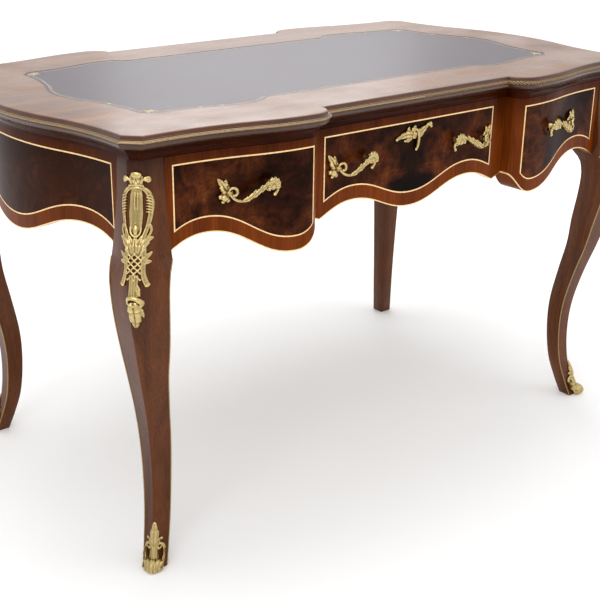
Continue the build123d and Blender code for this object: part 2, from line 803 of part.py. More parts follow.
def laid_on_corner(shape, plane, skin):
    # a silhouette pressed on the leg's corner, as thick as the skin stands out
    with BuildPart() as piece:
        with BuildSketch(plane.offset(-reach)):
            add(shape)
        extrude(amount=2 * reach)
        add(skin, mode=Mode.INTERSECT)
        add(leg_core, mode=Mode.SUBTRACT)
    return piece.part


with BuildSketch() as chute_outline:
    oval((0, -30), 12, 11, 0)
    oval((-14, -29), 5.5, 5.5, 0)
    oval((14, -29), 5.5, 5.5, 0)
    oval((0, -76), 40, 23.5, 90)
    with Locations((0, -122)):
        Trapezoid(44, 26, 60, rotation=180)
    with Locations((0, -158)):
        Rectangle(30, 64)
    for side in (-1, 1):
        oval((side * 18, -140), 6, 5, side * 30)
        oval((side * 19, -182), 7, 4, side * -50)
    oval((0, -220), 36, 12, 90)

with BuildSketch() as lyre_opening:
    oval((0, -76), 34, 17, 90)
    with Locations((0, -76)):
        Ellipse(36, 10.5, rotation=90, mode=Mode.SUBTRACT)

with BuildSketch() as chute_boss:
    oval((0, -76), 36, 10.5, 90)
    oval((0, -218), 32, 9, 90)

with BuildPart() as chute_front_right:
    add(laid_on_corner(chute_outline.sketch - lyre_opening.sketch, chute_plane, thin_skin))
    add(laid_on_corner(chute_boss.sketch, chute_plane, thick_skin))

with BuildSketch() as shoe_outline:
    oval((0, 56), 30, 9, 90)
    with Locations((0, 16)):
        Rectangle(34, 32)
with BuildPart() as shoe_front_right:
    add(laid_on_corner(shoe_outline.sketch, shoe_plane, thin_skin))
    with BuildSketch(leg_corner_plane.offset(-toe_radius)):
        with Locations((2, toe_radius)):
            Circle(toe_radius)
    extrude(amount=2 * toe_radius)
    add(leg_core, mode=Mode.SUBTRACT)

with BuildPart() as chute_front_left:
    add(chute_front_right.part.mirror(Plane.YZ))
with BuildPart() as chute_back_right:
    add(chute_front_right.part.mirror(Plane.XZ))
with BuildPart() as chute_back_left:
    add(chute_front_left.part.mirror(Plane.XZ))
with BuildPart() as shoe_front_left:
    add(shoe_front_right.part.mirror(Plane.YZ))
with BuildPart() as shoe_back_right:
    add(shoe_front_right.part.mirror(Plane.XZ))
with BuildPart() as shoe_back_left:
    add(shoe_front_left.part.mirror(Plane.XZ))

# ------------------------------------------------------------------ files
save(top_border, "top_border")
save(writing_board, "writing_board")
save(leather_inset, "leather_inset")
save(rope_bead, "rope_bead")
save(cornice_frame, "cornice_frame")
save(cross_rails, "cross_rails")
save(frame_screws, "frame_screws")
save(leg_front_left, "leg_front_left")
save(leg_front_right, "leg_front_right")
save(leg_back_left, "leg_back_left")
save(leg_back_right, "leg_back_right")
save(apron_left, "apron_left")
save(apron_right, "apron_right")
save(end_stringing_pair, "end_stringing")
save(end_veneer_pair, "end_veneer")
save(back_apron, "back_apron")
save(back_stringing, "back_stringing")
save(back_veneer, "back_veneer")
save(front_rail, "front_rail")
save(divider_left, "divider_left")
save(divider_right, "divider_right")
save(middle_runners, "middle_runners")
save(outer_runners, "outer_runners")
save(drawer_stops, "drawer_stops")
save(corner_blocks, "corner_blocks")
save(front_left, "drawer_left_front")
save(front_middle, "drawer_middle_front")
save(front_right, "drawer_right_front")
save(veneer_left, "drawer_left_veneer")
save(veneer_middle, "drawer_middle_veneer")
save(veneer_right, "drawer_right_veneer")
save(string_left, "drawer_left_stringing")
save(string_middle, "drawer_middle_stringing")
save(string_right, "drawer_right_stringing")
save(pull_left, "pull_left")
save(pulls_middle, "pulls_middle")
save(pull_right, "pull_right")
save(pulls_back, "pulls_back")
save(escutcheon, "escutcheon")
save(lock_case_part, "lock_case")
save(lock_bolt, "lock_bolt")
save(chute_front_left, "chute_front_left")
save(chute_front_right, "chute_front_right")
save(chute_back_left, "chute_back_left")
save(chute_back_right, "chute_back_right")
save(shoe_front_left, "shoe_front_left")
save(shoe_front_right, "shoe_front_right")
save(shoe_back_left, "shoe_back_left")
save(shoe_back_right, "shoe_back_right")
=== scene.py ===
import bpy, math
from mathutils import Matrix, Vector
from mathutils.bvhtree import BVHTree


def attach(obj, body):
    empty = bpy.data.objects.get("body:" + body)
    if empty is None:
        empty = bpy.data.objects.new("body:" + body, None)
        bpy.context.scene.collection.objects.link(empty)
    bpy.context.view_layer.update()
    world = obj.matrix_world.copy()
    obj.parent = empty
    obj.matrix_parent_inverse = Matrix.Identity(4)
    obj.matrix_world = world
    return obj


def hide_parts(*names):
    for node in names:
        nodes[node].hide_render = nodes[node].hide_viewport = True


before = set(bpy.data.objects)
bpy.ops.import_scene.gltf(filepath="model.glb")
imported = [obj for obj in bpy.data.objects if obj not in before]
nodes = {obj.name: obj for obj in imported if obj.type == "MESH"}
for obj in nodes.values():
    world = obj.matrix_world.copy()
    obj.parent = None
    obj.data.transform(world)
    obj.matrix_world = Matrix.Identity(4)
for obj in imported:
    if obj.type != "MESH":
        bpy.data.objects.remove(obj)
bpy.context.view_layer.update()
bpy.ops.object.select_all(action="DESELECT")
print("frame loaded:", len(nodes), "nodes")


def newMaterial(name):
    mat = bpy.data.materials.new(name)
    mat.use_nodes = True
    tree = mat.node_tree
    shader = tree.nodes["Principled BSDF"]
    coord = tree.nodes.new("ShaderNodeTexCoord")
    return mat, tree, shader, coord


def addNode(tree, kind, inputs=None, **settings):
    node = tree.nodes.new("ShaderNode" + kind)
    for key, value in settings.items():
        setattr(node, key, value)
    for key, value in (inputs or {}).items():
        if isinstance(value, bpy.types.NodeSocket):
            tree.links.new(value, node.inputs[key])
        else:
            node.inputs[key].default_value = value
    return node


def addMath(tree, operation, *values):
    return addNode(tree, "Math", dict(enumerate(values)), operation=operation).outputs[0]


def addRamp(tree, source, stops):
    # each stop is a place and a colour, or a place and one grey level
    ramp = tree.nodes.new("ShaderNodeValToRGB")
    tree.links.new(source, ramp.inputs[0])
    band = ramp.color_ramp
    while len(band.elements) < len(stops):
        band.elements.new(0.5)
    for element, (place, colour) in zip(band.elements, stops):
        element.position = place
        element.color = (*colour, 1) if len(colour) == 3 else (colour[0],) * 3 + (1,)
    return ramp.outputs[0]


def mapped(tree, coord, scale, place=(0, 0, 0)):
    node = addNode(tree, "Mapping", {"Vector": coord.outputs["Object"], "Scale": scale, "Location": place})
    return node.outputs[0]


def mixColours(tree, factor, a, b, mode="MIX"):
    node = addNode(tree, "Mix", data_type="RGBA", blend_type=mode)
    for index, value in ((0, factor), (6, a), (7, b)):
        if isinstance(value, bpy.types.NodeSocket):
            tree.links.new(value, node.inputs[index])
        else:
            node.inputs[index].default_value = value if index == 0 else (*value, 1)
    return node.outputs[2]


def finishWith(tree, shader, colour, rough):
    tree.links.new(colour, shader.inputs["Base Color"])
    tree.links.new(rough, shader.inputs["Roughness"])


def tint(mat, tone):
    # multiplies a finished material's colour by a tone
    tree = mat.node_tree
    colour = tree.nodes["Principled BSDF"].inputs["Base Color"]
    tree.links.new(mixColours(tree, 1.0, colour.links[0].from_socket, tone, "MULTIPLY"), colour)


def addBump(tree, shader, height, strength, distance):
    bump = addNode(tree, "Bump", {"Height": height, "Strength": strength, "Distance": distance})
    tree.links.new(bump.outputs[0], shader.inputs["Normal"])


# tones of the mahogany, and the painted shade that darkens it close under the top's overhang
wood = {
    "dark": (0.086, 0.022, 0.006),
    "middle": (0.124, 0.034, 0.009),
    "light": (0.165, 0.050, 0.013),
    "grainWidth": 620.0,  # streaks per metre across the grain
    "grainRun": 16.0,  # and along it
    "figureWidth": 26.0,  # the same for the broad clouds of the figure
    "figureRun": 3.5,
    "paintedShadeHeights": (0.672, 0.738),  # metres up, where the painted shade starts and where it is full
    "paintedShadeTone": (0.40, 0.36, 0.36),
    "topHeight": 0.758,  # above this the wood is the top itself and gets no painted shade
}


def paintedShadeUnderTop(tree, coord, colour):
    # painted shade: the colour darkens towards the top of the frieze, standing in for the shadow under the
    # top's overhang
    height = addNode(tree, "SeparateXYZ", {0: coord.outputs["Object"]})
    start, full = wood["paintedShadeHeights"]
    level = addNode(tree, "MapRange", {"Value": height.outputs["Z"], "From Min": start, "From Max": full})
    shadeRamp = addRamp(tree, level.outputs[0], [(0.0, (1, 1, 1)), (1.0, wood["paintedShadeTone"])])
    aboveShade = addMath(tree, "GREATER_THAN", height.outputs["Z"], wood["topHeight"])
    return mixColours(tree, aboveShade, mixColours(tree, 1.0, colour, shadeRamp, "MULTIPLY"), colour)


def mahogany(name, along, seed=0.0, shade=(1.05, 1.1, 1.0), gloss=1.17, polish=0.14):
    # polished mahogany, its grain running along one axis
    mat, tree, shader, coord = newMaterial(name)
    wide, run = wood["grainWidth"], wood["grainRun"]
    scale = [run if axis == along else wide for axis in "XYZ"]
    grain = addNode(tree, "TexNoise", {"Vector": mapped(tree, coord, scale, (seed, seed, seed)),
                                       "Scale": 1.0, "Detail": 5.0, "Roughness": 0.62})
    scale = [wood["figureRun"] if axis == along else wood["figureWidth"] for axis in "XYZ"]
    place = mapped(tree, coord, scale, (seed, 1 + seed, seed))
    figure = addNode(tree, "TexNoise", {"Vector": place, "Scale": 1.0, "Detail": 3.0, "Distortion": 0.9})
    tone = [tuple(c * s for c, s in zip(wood[key], shade)) for key in ("dark", "middle", "light")]
    streaks = addRamp(tree, grain.outputs["Fac"], [(0.3, tone[0]), (0.52, tone[1]), (0.74, tone[2])])
    clouds = addRamp(tree, figure.outputs["Fac"], [(0.3, (0.55, 0.5, 0.5)), (0.7, (1.25, 1.2, 1.15))])
    # painted shade darkens the wood close under the top
    colour = paintedShadeUnderTop(tree, coord, mixColours(tree, 0.85, streaks, clouds, "MULTIPLY"))
    worn = addNode(tree, "TexNoise", {"Vector": mapped(tree, coord, (9, 9, 9)), "Scale": 1.0,
                                      "Detail": 4.0})
    rough = addRamp(tree, worn.outputs["Fac"], [(0.35, (polish * 0.8,)), (0.7, (polish * 1.4,))])
    finishWith(tree, shader, colour, rough)
    addBump(tree, shader, grain.outputs["Fac"], 0.04, 0.0003)
    shader.inputs["IOR"].default_value = gloss
    return mat


def crossbandedTop(name):
    # wood made pale on the faces that look up, a painted reflection of the bright studio, and a dark moulded
    # edge
    mat = mahogany(name, "X", 0.0, (1.5, 2.1, 2.2), 1.52, 0.24)
    tree = mat.node_tree
    surface = addNode(tree, "NewGeometry")
    paintedReflectionMask = addNode(tree, "SeparateXYZ", {0: surface.outputs["Normal"]})
    # faces that look up keep the pale colour as a painted reflection; the others are darkened to the moulded
    # edge
    tint(mat, addRamp(tree, paintedReflectionMask.outputs["Z"], [(0.8, (0.34, 0.22, 0.16)), (0.96, (1, 1, 1))]))
    return mat


burl = {
    "swirls": 16.0,  # this and the next three: how many to the metre
    "knots": 42.0,
    "specks": 150.0,
    "blotches": 9.0,
    "strongTones": (0.024, 0.145),  # darkest and lightest red of a full figure
    "calmTones": (0.032, 0.066),
    "plume": (0.055, 0.115),  # metres from the middle, where the plume starts to fade and where it ends
    "plumeWander": 0.11,  # how far the swirls push its edge about
}


def burlVeneer(name, seed, matched, figure):
    # dark burl: knots, swirls and near-black blotches under the same polish
    mat, tree, shader, coord = newMaterial(name)
    place = mapped(tree, coord, (1, 1, 1), (seed, 0.3 * seed, 0.7 * seed))
    if matched:  # two leaves of veneer opened like a book about the middle
        axes = addNode(tree, "SeparateXYZ", {0: coord.outputs["Object"]})
        fromMiddle = addMath(tree, "ABSOLUTE", axes.outputs["X"])
        folded = addNode(tree, "CombineXYZ", {"X": fromMiddle, "Z": axes.outputs["Z"]})
        place = addNode(tree, "VectorMath", {0: folded.outputs[0], 1: (seed, 0, 0.7 * seed)},
                        operation="ADD").outputs[0]
    swirl = addNode(tree, "TexNoise", {"Vector": place, "Scale": burl["swirls"], "Detail": 7.0,
                                       "Roughness": 0.62, "Distortion": 1.6})
    knots = addNode(tree, "TexVoronoi", {"Vector": place, "Scale": burl["knots"], "Randomness": 1.0},
                    feature="SMOOTH_F1")
    fine = addNode(tree, "TexNoise", {"Vector": place, "Scale": burl["specks"], "Detail": 5.0,
                                      "Distortion": 2.2})
    blotch = addNode(tree, "TexNoise", {"Vector": place, "Scale": burl["blotches"], "Detail": 3.0,
                                        "Distortion": 0.8})
    low, high = burl["strongTones"] if figure > 0.5 else burl["calmTones"]
    base = addRamp(tree, swirl.outputs["Fac"], [(0.3, (low, 0.24 * low, 0.08 * low)),
                                                (0.5, (0.55 * high, 0.13 * high, 0.035 * high)),
                                                (0.68, (high, 0.28 * high, 0.07 * high))])
    eyes = addRamp(tree, knots.outputs["Distance"], [(0.04, (0.35, 0.3, 0.28)), (0.3, (1.0, 1.0, 1.0))])
    speck = addRamp(tree, fine.outputs["Fac"], [(0.35, (0.6, 0.58, 0.55)), (0.62, (1.2, 1.15, 1.1))])
    dark = addRamp(tree, blotch.outputs["Fac"], [(0.42, (0.2, 0.16, 0.15)), (0.6, (1.0, 1.0, 1.0))])
    colour = mixColours(tree, figure, base, eyes, "MULTIPLY")
    colour = mixColours(tree, figure, colour, speck, "MULTIPLY")
    if matched:  # dark plume where the leaves meet
        wander = addMath(tree, "MULTIPLY_ADD", swirl.outputs["Fac"], burl["plumeWander"], fromMiddle)
        near, far = burl["plume"]
        fade = addNode(tree, "MapRange", {"Value": wander, "From Min": near, "From Max": far})
        plume = addRamp(tree, fade.outputs[0], [(0.0, (0.30, 0.30, 0.34)), (1.0, (1.15, 1.1, 1.0))])
        colour = mixColours(tree, 0.9, colour, plume, "MULTIPLY")
    # painted shade darkens the veneer close under the top
    colour = paintedShadeUnderTop(tree, coord, mixColours(tree, figure, colour, dark, "MULTIPLY"))
    rough = addRamp(tree, swirl.outputs["Fac"], [(0.3, (0.13,)), (0.7, (0.22,))])
    finishWith(tree, shader, colour, rough)
    addBump(tree, shader, fine.outputs["Fac"], 0.03, 0.0002)
    shader.inputs["IOR"].default_value = 1.12
    return mat


def plainOak(name, along, seed=0.0):
    mat, tree, shader, coord = newMaterial(name)
    scale = [10.0 if axis == along else 300.0 for axis in "XYZ"]
    grain = addNode(tree, "TexNoise", {"Vector": mapped(tree, coord, scale, (seed, seed, seed)),
                                       "Scale": 1.0, "Detail": 6.0, "Roughness": 0.6})
    colour = addRamp(tree, grain.outputs["Fac"], [(0.3, (0.17, 0.095, 0.04)), (0.55, (0.33, 0.205, 0.10)),
                                                  (0.8, (0.45, 0.30, 0.16))])
    rough = addRamp(tree, grain.outputs["Fac"], [(0.3, (0.62,)), (0.7, (0.5,))])
    finishWith(tree, shader, colour, rough)
    addBump(tree, shader, grain.outputs["Fac"], 0.25, 0.0006)
    return mat


def giltBrass(name, colour, dull, rough, bumpSize=0.0):
    # cast brass under old gilding: hollows browned, partly patina and partly painted shade, and edges
    # brightened as a painted highlight
    mat, tree, shader, coord = newMaterial(name)
    shader.inputs["Metallic"].default_value = 1.0
    patina = addNode(tree, "TexNoise", {"Vector": coord.outputs["Object"], "Scale": 210.0,
                                        "Detail": 5.0})
    edges = addNode(tree, "NewGeometry")
    # darker in the hollows, partly patina and partly painted shade; brighter on the edges, a painted
    # highlight
    patinaShadeAndHighlight = addRamp(tree, edges.outputs["Pointiness"], [(0.455, dull), (0.503, colour),
                                                       (0.55, tuple(min(1, c * 1.8) for c in colour))])
    spots = addRamp(tree, patina.outputs["Fac"], [(0.3, (0.72, 0.66, 0.55)), (0.62, (1.0, 1.0, 1.0))])
    satin = addRamp(tree, patina.outputs["Fac"], [(0.3, (rough * 1.5,)), (0.7, (rough * 0.8,))])
    finishWith(tree, shader, mixColours(tree, 0.6, patinaShadeAndHighlight, spots, "MULTIPLY"), satin)
    if bumpSize:
        addBump(tree, shader, patina.outputs["Fac"], 0.2, bumpSize)
    return mat


def ropeBrass(name):
    # the grooves between the strands darkened, a painted shade
    mat = giltBrass(name, (0.92, 0.76, 0.53), (0.34, 0.24, 0.13), 0.3)
    tree = mat.node_tree
    # painted shade: the deeper a point lies in a groove, the darker the gilding
    crest = addNode(tree, "Attribute", attribute_name="crest")
    tint(mat, addRamp(tree, crest.outputs["Fac"], [(0.62, (0.10, 0.055, 0.03)), (0.88, (1, 1, 1))]))
    return mat


def tooledLeather(name):
    mat, tree, shader, coord = newMaterial(name)
    pebble = addNode(tree, "TexVoronoi", {"Vector": coord.outputs["Object"], "Scale": 900.0},
                     feature="SMOOTH_F1")
    clouds = addNode(tree, "TexNoise", {"Vector": coord.outputs["Object"], "Scale": 5.0,
                                        "Detail": 6.0, "Roughness": 0.65})
    colour = addRamp(tree, clouds.outputs["Fac"], [(0.3, (0.030, 0.016, 0.030)),
                                                   (0.7, (0.044, 0.025, 0.044))])
    rough = addRamp(tree, clouds.outputs["Fac"], [(0.35, (0.33,)), (0.7, (0.36,))])
    finishWith(tree, shader, colour, rough)
    addBump(tree, shader, pebble.outputs["Distance"], 0.18, 0.0005)
    shader.inputs["IOR"].default_value = 1.55
    return mat


def dullIron(name):
    mat, tree, shader, coord = newMaterial(name)
    shader.inputs["Metallic"].default_value = 1.0
    brushed = addNode(tree, "TexNoise", {"Vector": mapped(tree, coord, (40, 900, 900)),
                                         "Scale": 1.0, "Detail": 4.0})
    colour = addRamp(tree, brushed.outputs["Fac"], [(0.3, (0.16, 0.15, 0.14)), (0.7, (0.34, 0.33, 0.31))])
    tree.links.new(colour, shader.inputs["Base Color"])
    shader.inputs["Roughness"].default_value = 0.42
    addBump(tree, shader, brushed.outputs["Fac"], 0.2, 0.0002)
    return mat


gilt = giltBrass("giltCasting", (0.45, 0.345, 0.155), (0.11, 0.072, 0.024), 0.24, 0.0003)
ropeGilt = ropeBrass("giltRope")
brassLine = giltBrass("brassLine", (0.50, 0.345, 0.175), (0.36, 0.24, 0.11), 0.30)
goldLeaf = giltBrass("goldLeaf", (0.66, 0.57, 0.40), (0.50, 0.42, 0.28), 0.42)
leatherTop = tooledLeather("darkLeather")
iron = dullIron("dullIron")
print("materials ready")


def dress(name, mat):
    slots = nodes[name].data.materials
    slots.clear()
    slots.append(mat)


# the seeds differ, so that no two boards share their figure
corners = ("front_left", "front_right", "back_left", "back_right")
dress("top_border", crossbandedTop("mahoganyTop"))
# the cornice's mahogany is darkened, a painted shade for the cove under the top's overhang
dress("cornice_frame", mahogany("mahoganyCorniceShaded", "X", 2.0, (0.75, 0.55, 0.4), 1.1))
for number, corner in enumerate(corners):
    dress("leg_" + corner, mahogany("mahoganyLegCore" + str(number), "Z", 3.1 + number))
    dress("chute_" + corner, gilt)
    dress("shoe_" + corner, gilt)
for number, name in enumerate(("apron_left", "apron_right")):
    dress(name, mahogany("mahoganyEnd" + str(number), "Z", 8.3 + number, (1.2, 1.0, 0.6), 1.12))
for number, name in enumerate(("drawer_left_front", "drawer_middle_front", "drawer_right_front",
                               "back_apron")):
    dress(name, mahogany("mahoganyFront" + str(number), "Z", 11.7 + number, (1.35, 1.05, 0.5), 1.12))
for number, name in enumerate(("drawer_left_veneer", "drawer_middle_veneer", "drawer_right_veneer",
                               "end_veneer", "back_veneer")):
    figure = 0.25 if "end" in name else 0.9  # the ends are plainer
    dress(name, burlVeneer("burl" + str(number), 1.3 + 2.1 * number, "middle" in name, figure))
for name in ("end_stringing", "back_stringing", "drawer_left_stringing", "drawer_middle_stringing",
             "drawer_right_stringing"):
    dress(name, brassLine)
for name in ("rope_bead", "pull_left", "pulls_middle", "pull_right", "pulls_back", "escutcheon"):
    dress(name, gilt)
dress("leather_inset", leatherTop)
oakAcross = plainOak("oakAcross", "X")
oakDeep = plainOak("oakDeep", "Y", 4.0)
oakUp = plainOak("oakUp", "Z", 6.0)
for name in ("writing_board", "front_rail", "drawer_stops", "drawer_left_back", "drawer_middle_back",
             "drawer_right_back"):
    dress(name, oakAcross)
for name in ("cross_rails", "divider_left", "divider_right", "middle_runners", "outer_runners",
             "drawer_left_sides", "drawer_middle_sides", "drawer_right_sides", "drawer_left_bottom",
             "drawer_middle_bottom", "drawer_right_bottom"):
    dress(name, oakDeep)
dress("corner_blocks", oakUp)
for name in ("lock_case", "lock_bolt", "frame_screws"):
    dress(name, iron)
print("frame dressed")


# cast ornament is drawn flat, in millimetres: u across, v up and w out of the face
mm = 0.001


def crossSection(name, outline):
    # a closed outline carried along a strand, from -1 to 1 across, that the strand's half width scales
    shape = bpy.data.curves.new(name, "CURVE")
    shape.dimensions = "2D"
    spline = shape.splines.new("POLY")
    spline.points.add(len(outline) - 1)
    for knot, (x, y) in zip(spline.points, outline):
        knot.co = (x * mm, y * mm, 0, 1)
    spline.use_cyclic_u = True
    holder = bpy.data.objects.new(name, shape)
    bpy.context.collection.objects.link(holder)
    return holder


def ringOutline(sides):
    return [(math.cos(turn), math.sin(turn)) for turn in (2 * math.pi * i / sides for i in range(sides))]


sections = {
    "wire": crossSection("wireSection", ringOutline(10)),
    "strap": crossSection("strapSection", [
        (-1, -0.3), (1, -0.3), (1, 0.1), (0.8, 0.45), (0.45, 0.55), (0.15, 0.35), (-0.15, 0.35),
        (-0.45, 0.55), (-0.8, 0.45), (-1, 0.1)]),
    "leaf": crossSection("leafSection", [
        (-1, -0.2), (1, -0.2), (0.95, 0.08), (0.7, 0.34), (0.35, 0.44), (0.12, 0.3), (0, 0.16), (-0.12, 0.3),
        (-0.35, 0.44), (-0.7, 0.34), (-0.95, 0.08)]),
    "hollow": crossSection("hollowSection", [
        (-1, -0.1), (1, -0.1), (0.98, 0.2), (0.84, 0.38), (0.62, 0.4), (0.3, 0.24), (0, 0.18), (-0.3, 0.24),
        (-0.62, 0.4), (-0.84, 0.38), (-0.98, 0.2)]),
    "flute": crossSection("fluteSection", [
        (-1, -0.1), (1, -0.1), (0.92, 0.3), (0.72, 0.42), (0.55, 0.36), (0.4, 0.52), (0.18, 0.6), (0, 0.5),
        (-0.18, 0.6), (-0.4, 0.52), (-0.55, 0.36), (-0.72, 0.42), (-0.92, 0.3)]),
}


def alone(piece):
    bpy.ops.object.select_all(action="DESELECT")
    piece.select_set(True)
    bpy.context.view_layer.objects.active = piece


def joinUp(name, pieces):
    alone(pieces[0])
    for piece in pieces:
        piece.select_set(True)
    if len(pieces) > 1:
        bpy.ops.object.join()
    whole = bpy.context.active_object
    whole.name = whole.data.name = name
    return whole


def emptyCurve(section, twist):
    # a curve without lines yet, that carries a section
    bpy.ops.curve.primitive_bezier_curve_add()
    holder = bpy.context.active_object
    curve = holder.data
    curve.splines.clear()
    curve.twist_mode = twist
    curve.bevel_mode = "OBJECT"
    curve.bevel_object = sections[section]
    return holder, curve


def madeMesh(holder):
    alone(holder)
    bpy.ops.object.convert(target="MESH")
    return bpy.context.active_object


def drawStrands(section, strands, twist="Z_UP"):
    # each strand is a list of (u, v, w, half width)
    holder, curve = emptyCurve(section, twist)
    curve.use_fill_caps = True
    curve.resolution_u = 5
    for strand in strands:
        spline = curve.splines.new("BEZIER")
        spline.bezier_points.add(len(strand) - 1)
        for knot, (u, v, w, half) in zip(spline.bezier_points, strand):
            knot.co = (u * mm, v * mm, w * mm)
            knot.radius = half
        for knot in spline.bezier_points:
            knot.handle_left_type = knot.handle_right_type = "AUTO"
    return madeMesh(holder)


def throughPoints(points, t):
    # place on the smooth line through a few points, t from 0 to 1
    last = len(points) - 1
    at = min(t * last, last - 1e-6)
    i = int(at)
    f = at - i
    a, b, c, d = (Vector(points[max(0, min(last, j))]) for j in (i - 1, i, i + 1, i + 2))
    return 0.5 * (2 * b + (c - a) * f + (2 * a - 5 * b + 4 * c - d) * f ** 2
                  + (3 * b - a - 3 * c + d) * f ** 3)


def leafStrand(spine, half, lobes=3, notch=0.32, base=0.55):
    # a leaf along a spine: widest low down, its edge cut into lobes, ending in a point
    knots = []
    for lobe in range(lobes):
        for phase in (0.02, 0.4, 0.75, 0.97):
            t = (lobe + phase) / lobes
            rise = base + (1 - base) * math.sin(math.pi / 2 * min(1, t / 0.35))
            fall = math.cos(math.pi / 2 * max(0, (t - 0.35) / 0.65)) ** 0.8
            width = half * (0.07 + 0.93 * rise * fall) * (1 - notch + notch * phase ** 0.7)
            knots.append((*throughPoints(spine, t), width))
    knots.append((*spine[-1], 0.05 * half))
    return knots


def bothSides(strands):
    return strands + [[(-knot[0], *knot[1:]) for knot in strand] for strand in strands]


def bothBalls(balls):
    return balls + [(-ball[0], *ball[1:]) for ball in balls]


def addBalls(balls):
    # each ball is (u, v, w, its three radii)
    made = []
    for u, v, w, ru, rv, rw in balls:
        bpy.ops.mesh.primitive_uv_sphere_add(segments=14, ring_count=9, location=(u * mm, v * mm, w * mm),
                                             radius=1.0, scale=(ru * mm, rv * mm, rw * mm))
        made.append(bpy.context.active_object)
    return made


def applyModifier(piece, kind, **settings):
    bpy.ops.object.modifier_add(type=kind)
    modifier = piece.modifiers[-1]
    for key, value in settings.items():
        setattr(modifier, key, value)
    bpy.ops.object.modifier_apply(modifier=modifier.name)


def castInOne(name, drawn, grain, faces, backing=-1.2):
    # melts strands and balls into one casting, trims and softens it, and thins it to so many triangles
    casting = joinUp(name, drawn)
    bpy.ops.object.transform_apply(location=True, rotation=True, scale=True)
    applyModifier(casting, "REMESH", mode="VOXEL", voxel_size=grain * mm, use_smooth_shade=True)
    bpy.ops.object.mode_set(mode="EDIT")
    bpy.ops.mesh.select_all(action="SELECT")
    bpy.ops.mesh.bisect(plane_co=(0, 0, backing * mm), plane_no=(0, 0, 1), use_fill=True, clear_inner=True)
    bpy.ops.object.mode_set(mode="OBJECT")
    applyModifier(casting, "SMOOTH", factor=0.5, iterations=2)
    if len(casting.data.polygons) > faces:
        applyModifier(casting, "DECIMATE", ratio=faces / (2 * len(casting.data.polygons)))
    bpy.ops.object.shade_smooth()
    return casting


def surfaceOf(*pieces):
    # the faces that ornament is laid on
    places, faces = [], []
    for piece in pieces:
        first = len(places)
        places += [vertex.co.copy() for vertex in piece.data.vertices]
        faces += [[first + i for i in polygon.vertices] for polygon in piece.data.polygons]
    return BVHTree.FromPolygons(places, faces)


def ownCopy(pattern, name, finish):
    # a copy with a mesh and a finish of its own
    piece = pattern.copy()
    piece.data = pattern.data.copy()
    piece.name = piece.data.name = name
    piece.data.materials.clear()
    piece.data.materials.append(finish)
    bpy.context.collection.objects.link(piece)
    return piece


def layOn(pattern, name, surface, centre, outward, flip=False, spread=0.0):
    # a copy of a flat casting, bent on to a surface, that looks along outward from its centre
    piece = ownCopy(pattern, name, gilt)
    outward = Vector(outward).normalized()
    across = Vector((-outward.y, outward.x, 0))
    side = -1 if flip else 1
    offsets = (-spread, 0, spread) if spread else (0,)
    far = 0.15  # metres in front of the centre, where the rays start
    for vertex in piece.data.vertices:
        u, v, w = vertex.co
        depth = 0
        for offset in offsets:
            start = (Vector(centre) + across * (side * u + offset * mm) + Vector((0, 0, v))
                     + outward * far)
            hit = surface.ray_cast(start, -outward)
            depth += (far - hit[3]) if hit[0] else 0
        depth /= len(offsets)
        vertex.co = Vector(centre) + across * side * u + Vector((0, 0, v)) + outward * (depth + w)
    if flip:
        piece.data.flip_normals()
    return piece


def clearAway(*things):
    for thing in things:
        bpy.data.objects.remove(thing, do_unlink=True)


# cabriole legs, in millimetres from the corner where the frieze's outer faces would meet
leg = {
    "corner": (586.0, 338.0),
    "post": 52.0,
    "apronEnd": 579.0,  # lowest height of the apron at the leg
    "apronRun": 26.0,  # height below it, over which the inner edge runs into the post
    "proud": 0.7,  # share of the sweep that is left at the joint with the apron
    "rings": 64,
    "faceShares": (0.0, 0.03, 0.2, 0.4, 0.6, 0.8, 0.97, 1.0),  # where the points of a face lie across it
    "arris": 0.9,  # width by which its sharp edges are eased
    "stations": [  # height, outward sweep of the corner, width of the square, width of the cant
        (0, -1, 30, 4), (37, -11, 31, 4), (92, -22.7, 32.5, 4.5), (165, -27.3, 35, 5),
        (232, -23.8, 38.5, 5.5), (303, -11.5, 42.8, 6), (371, 4.8, 49.8, 7), (424, 16, 58.2, 8.5),
        (484, 28, 64.8, 11), (528, 32.6, 67.6, 13), (558, 30.4, 69.4, 15), (573, 27.4, 70, 16.2),
        (590, 23, 71, 17.2), (625, 14.5, 69, 19), (680, 4.5, 59, 21), (738, 0, 54, 21),
    ],
    "edging": 1.15,  # half the width of the brass line on the inner arrises
    "edgingFoot": 1.5,  # height where that line starts
    "edgingTop": 0.5,  # how far below the apron it ends
}


def legAt(z):
    # sweep, width and cant at a height, on a smooth line through the stations
    rows = leg["stations"]
    i = max(0, min(len(rows) - 2, sum(row[0] <= z for row in rows) - 1))
    span = rows[i + 1][0] - rows[i][0]
    f = (z - rows[i][0]) / span

    def slope(j, k):
        low, high = rows[max(0, j - 1)], rows[min(len(rows) - 1, j + 1)]
        return (high[k] - low[k]) / (high[0] - low[0])

    values = []
    for k in (1, 2, 3):
        a, b, m, n = rows[i][k], rows[i + 1][k], slope(i, k) * span, slope(i + 1, k) * span
        values.append((2 * f ** 3 - 3 * f ** 2 + 1) * a + (f ** 3 - 2 * f ** 2 + f) * m
                      + (3 * f ** 2 - 2 * f ** 3) * b + (f ** 3 - f ** 2) * n)
    return values


def innerEdge(z):
    # how far in the leg reaches, and how proud its face is there
    sweep, width, _ = legAt(z)
    if z >= leg["apronEnd"]:
        return -leg["post"], leg["proud"] * sweep
    near = max(0, 1 - (leg["apronEnd"] - z) / leg["apronRun"]) ** 2
    reach = sweep - width
    return reach + (-leg["post"] - reach) * near, sweep * (1 - (1 - leg["proud"]) * near)


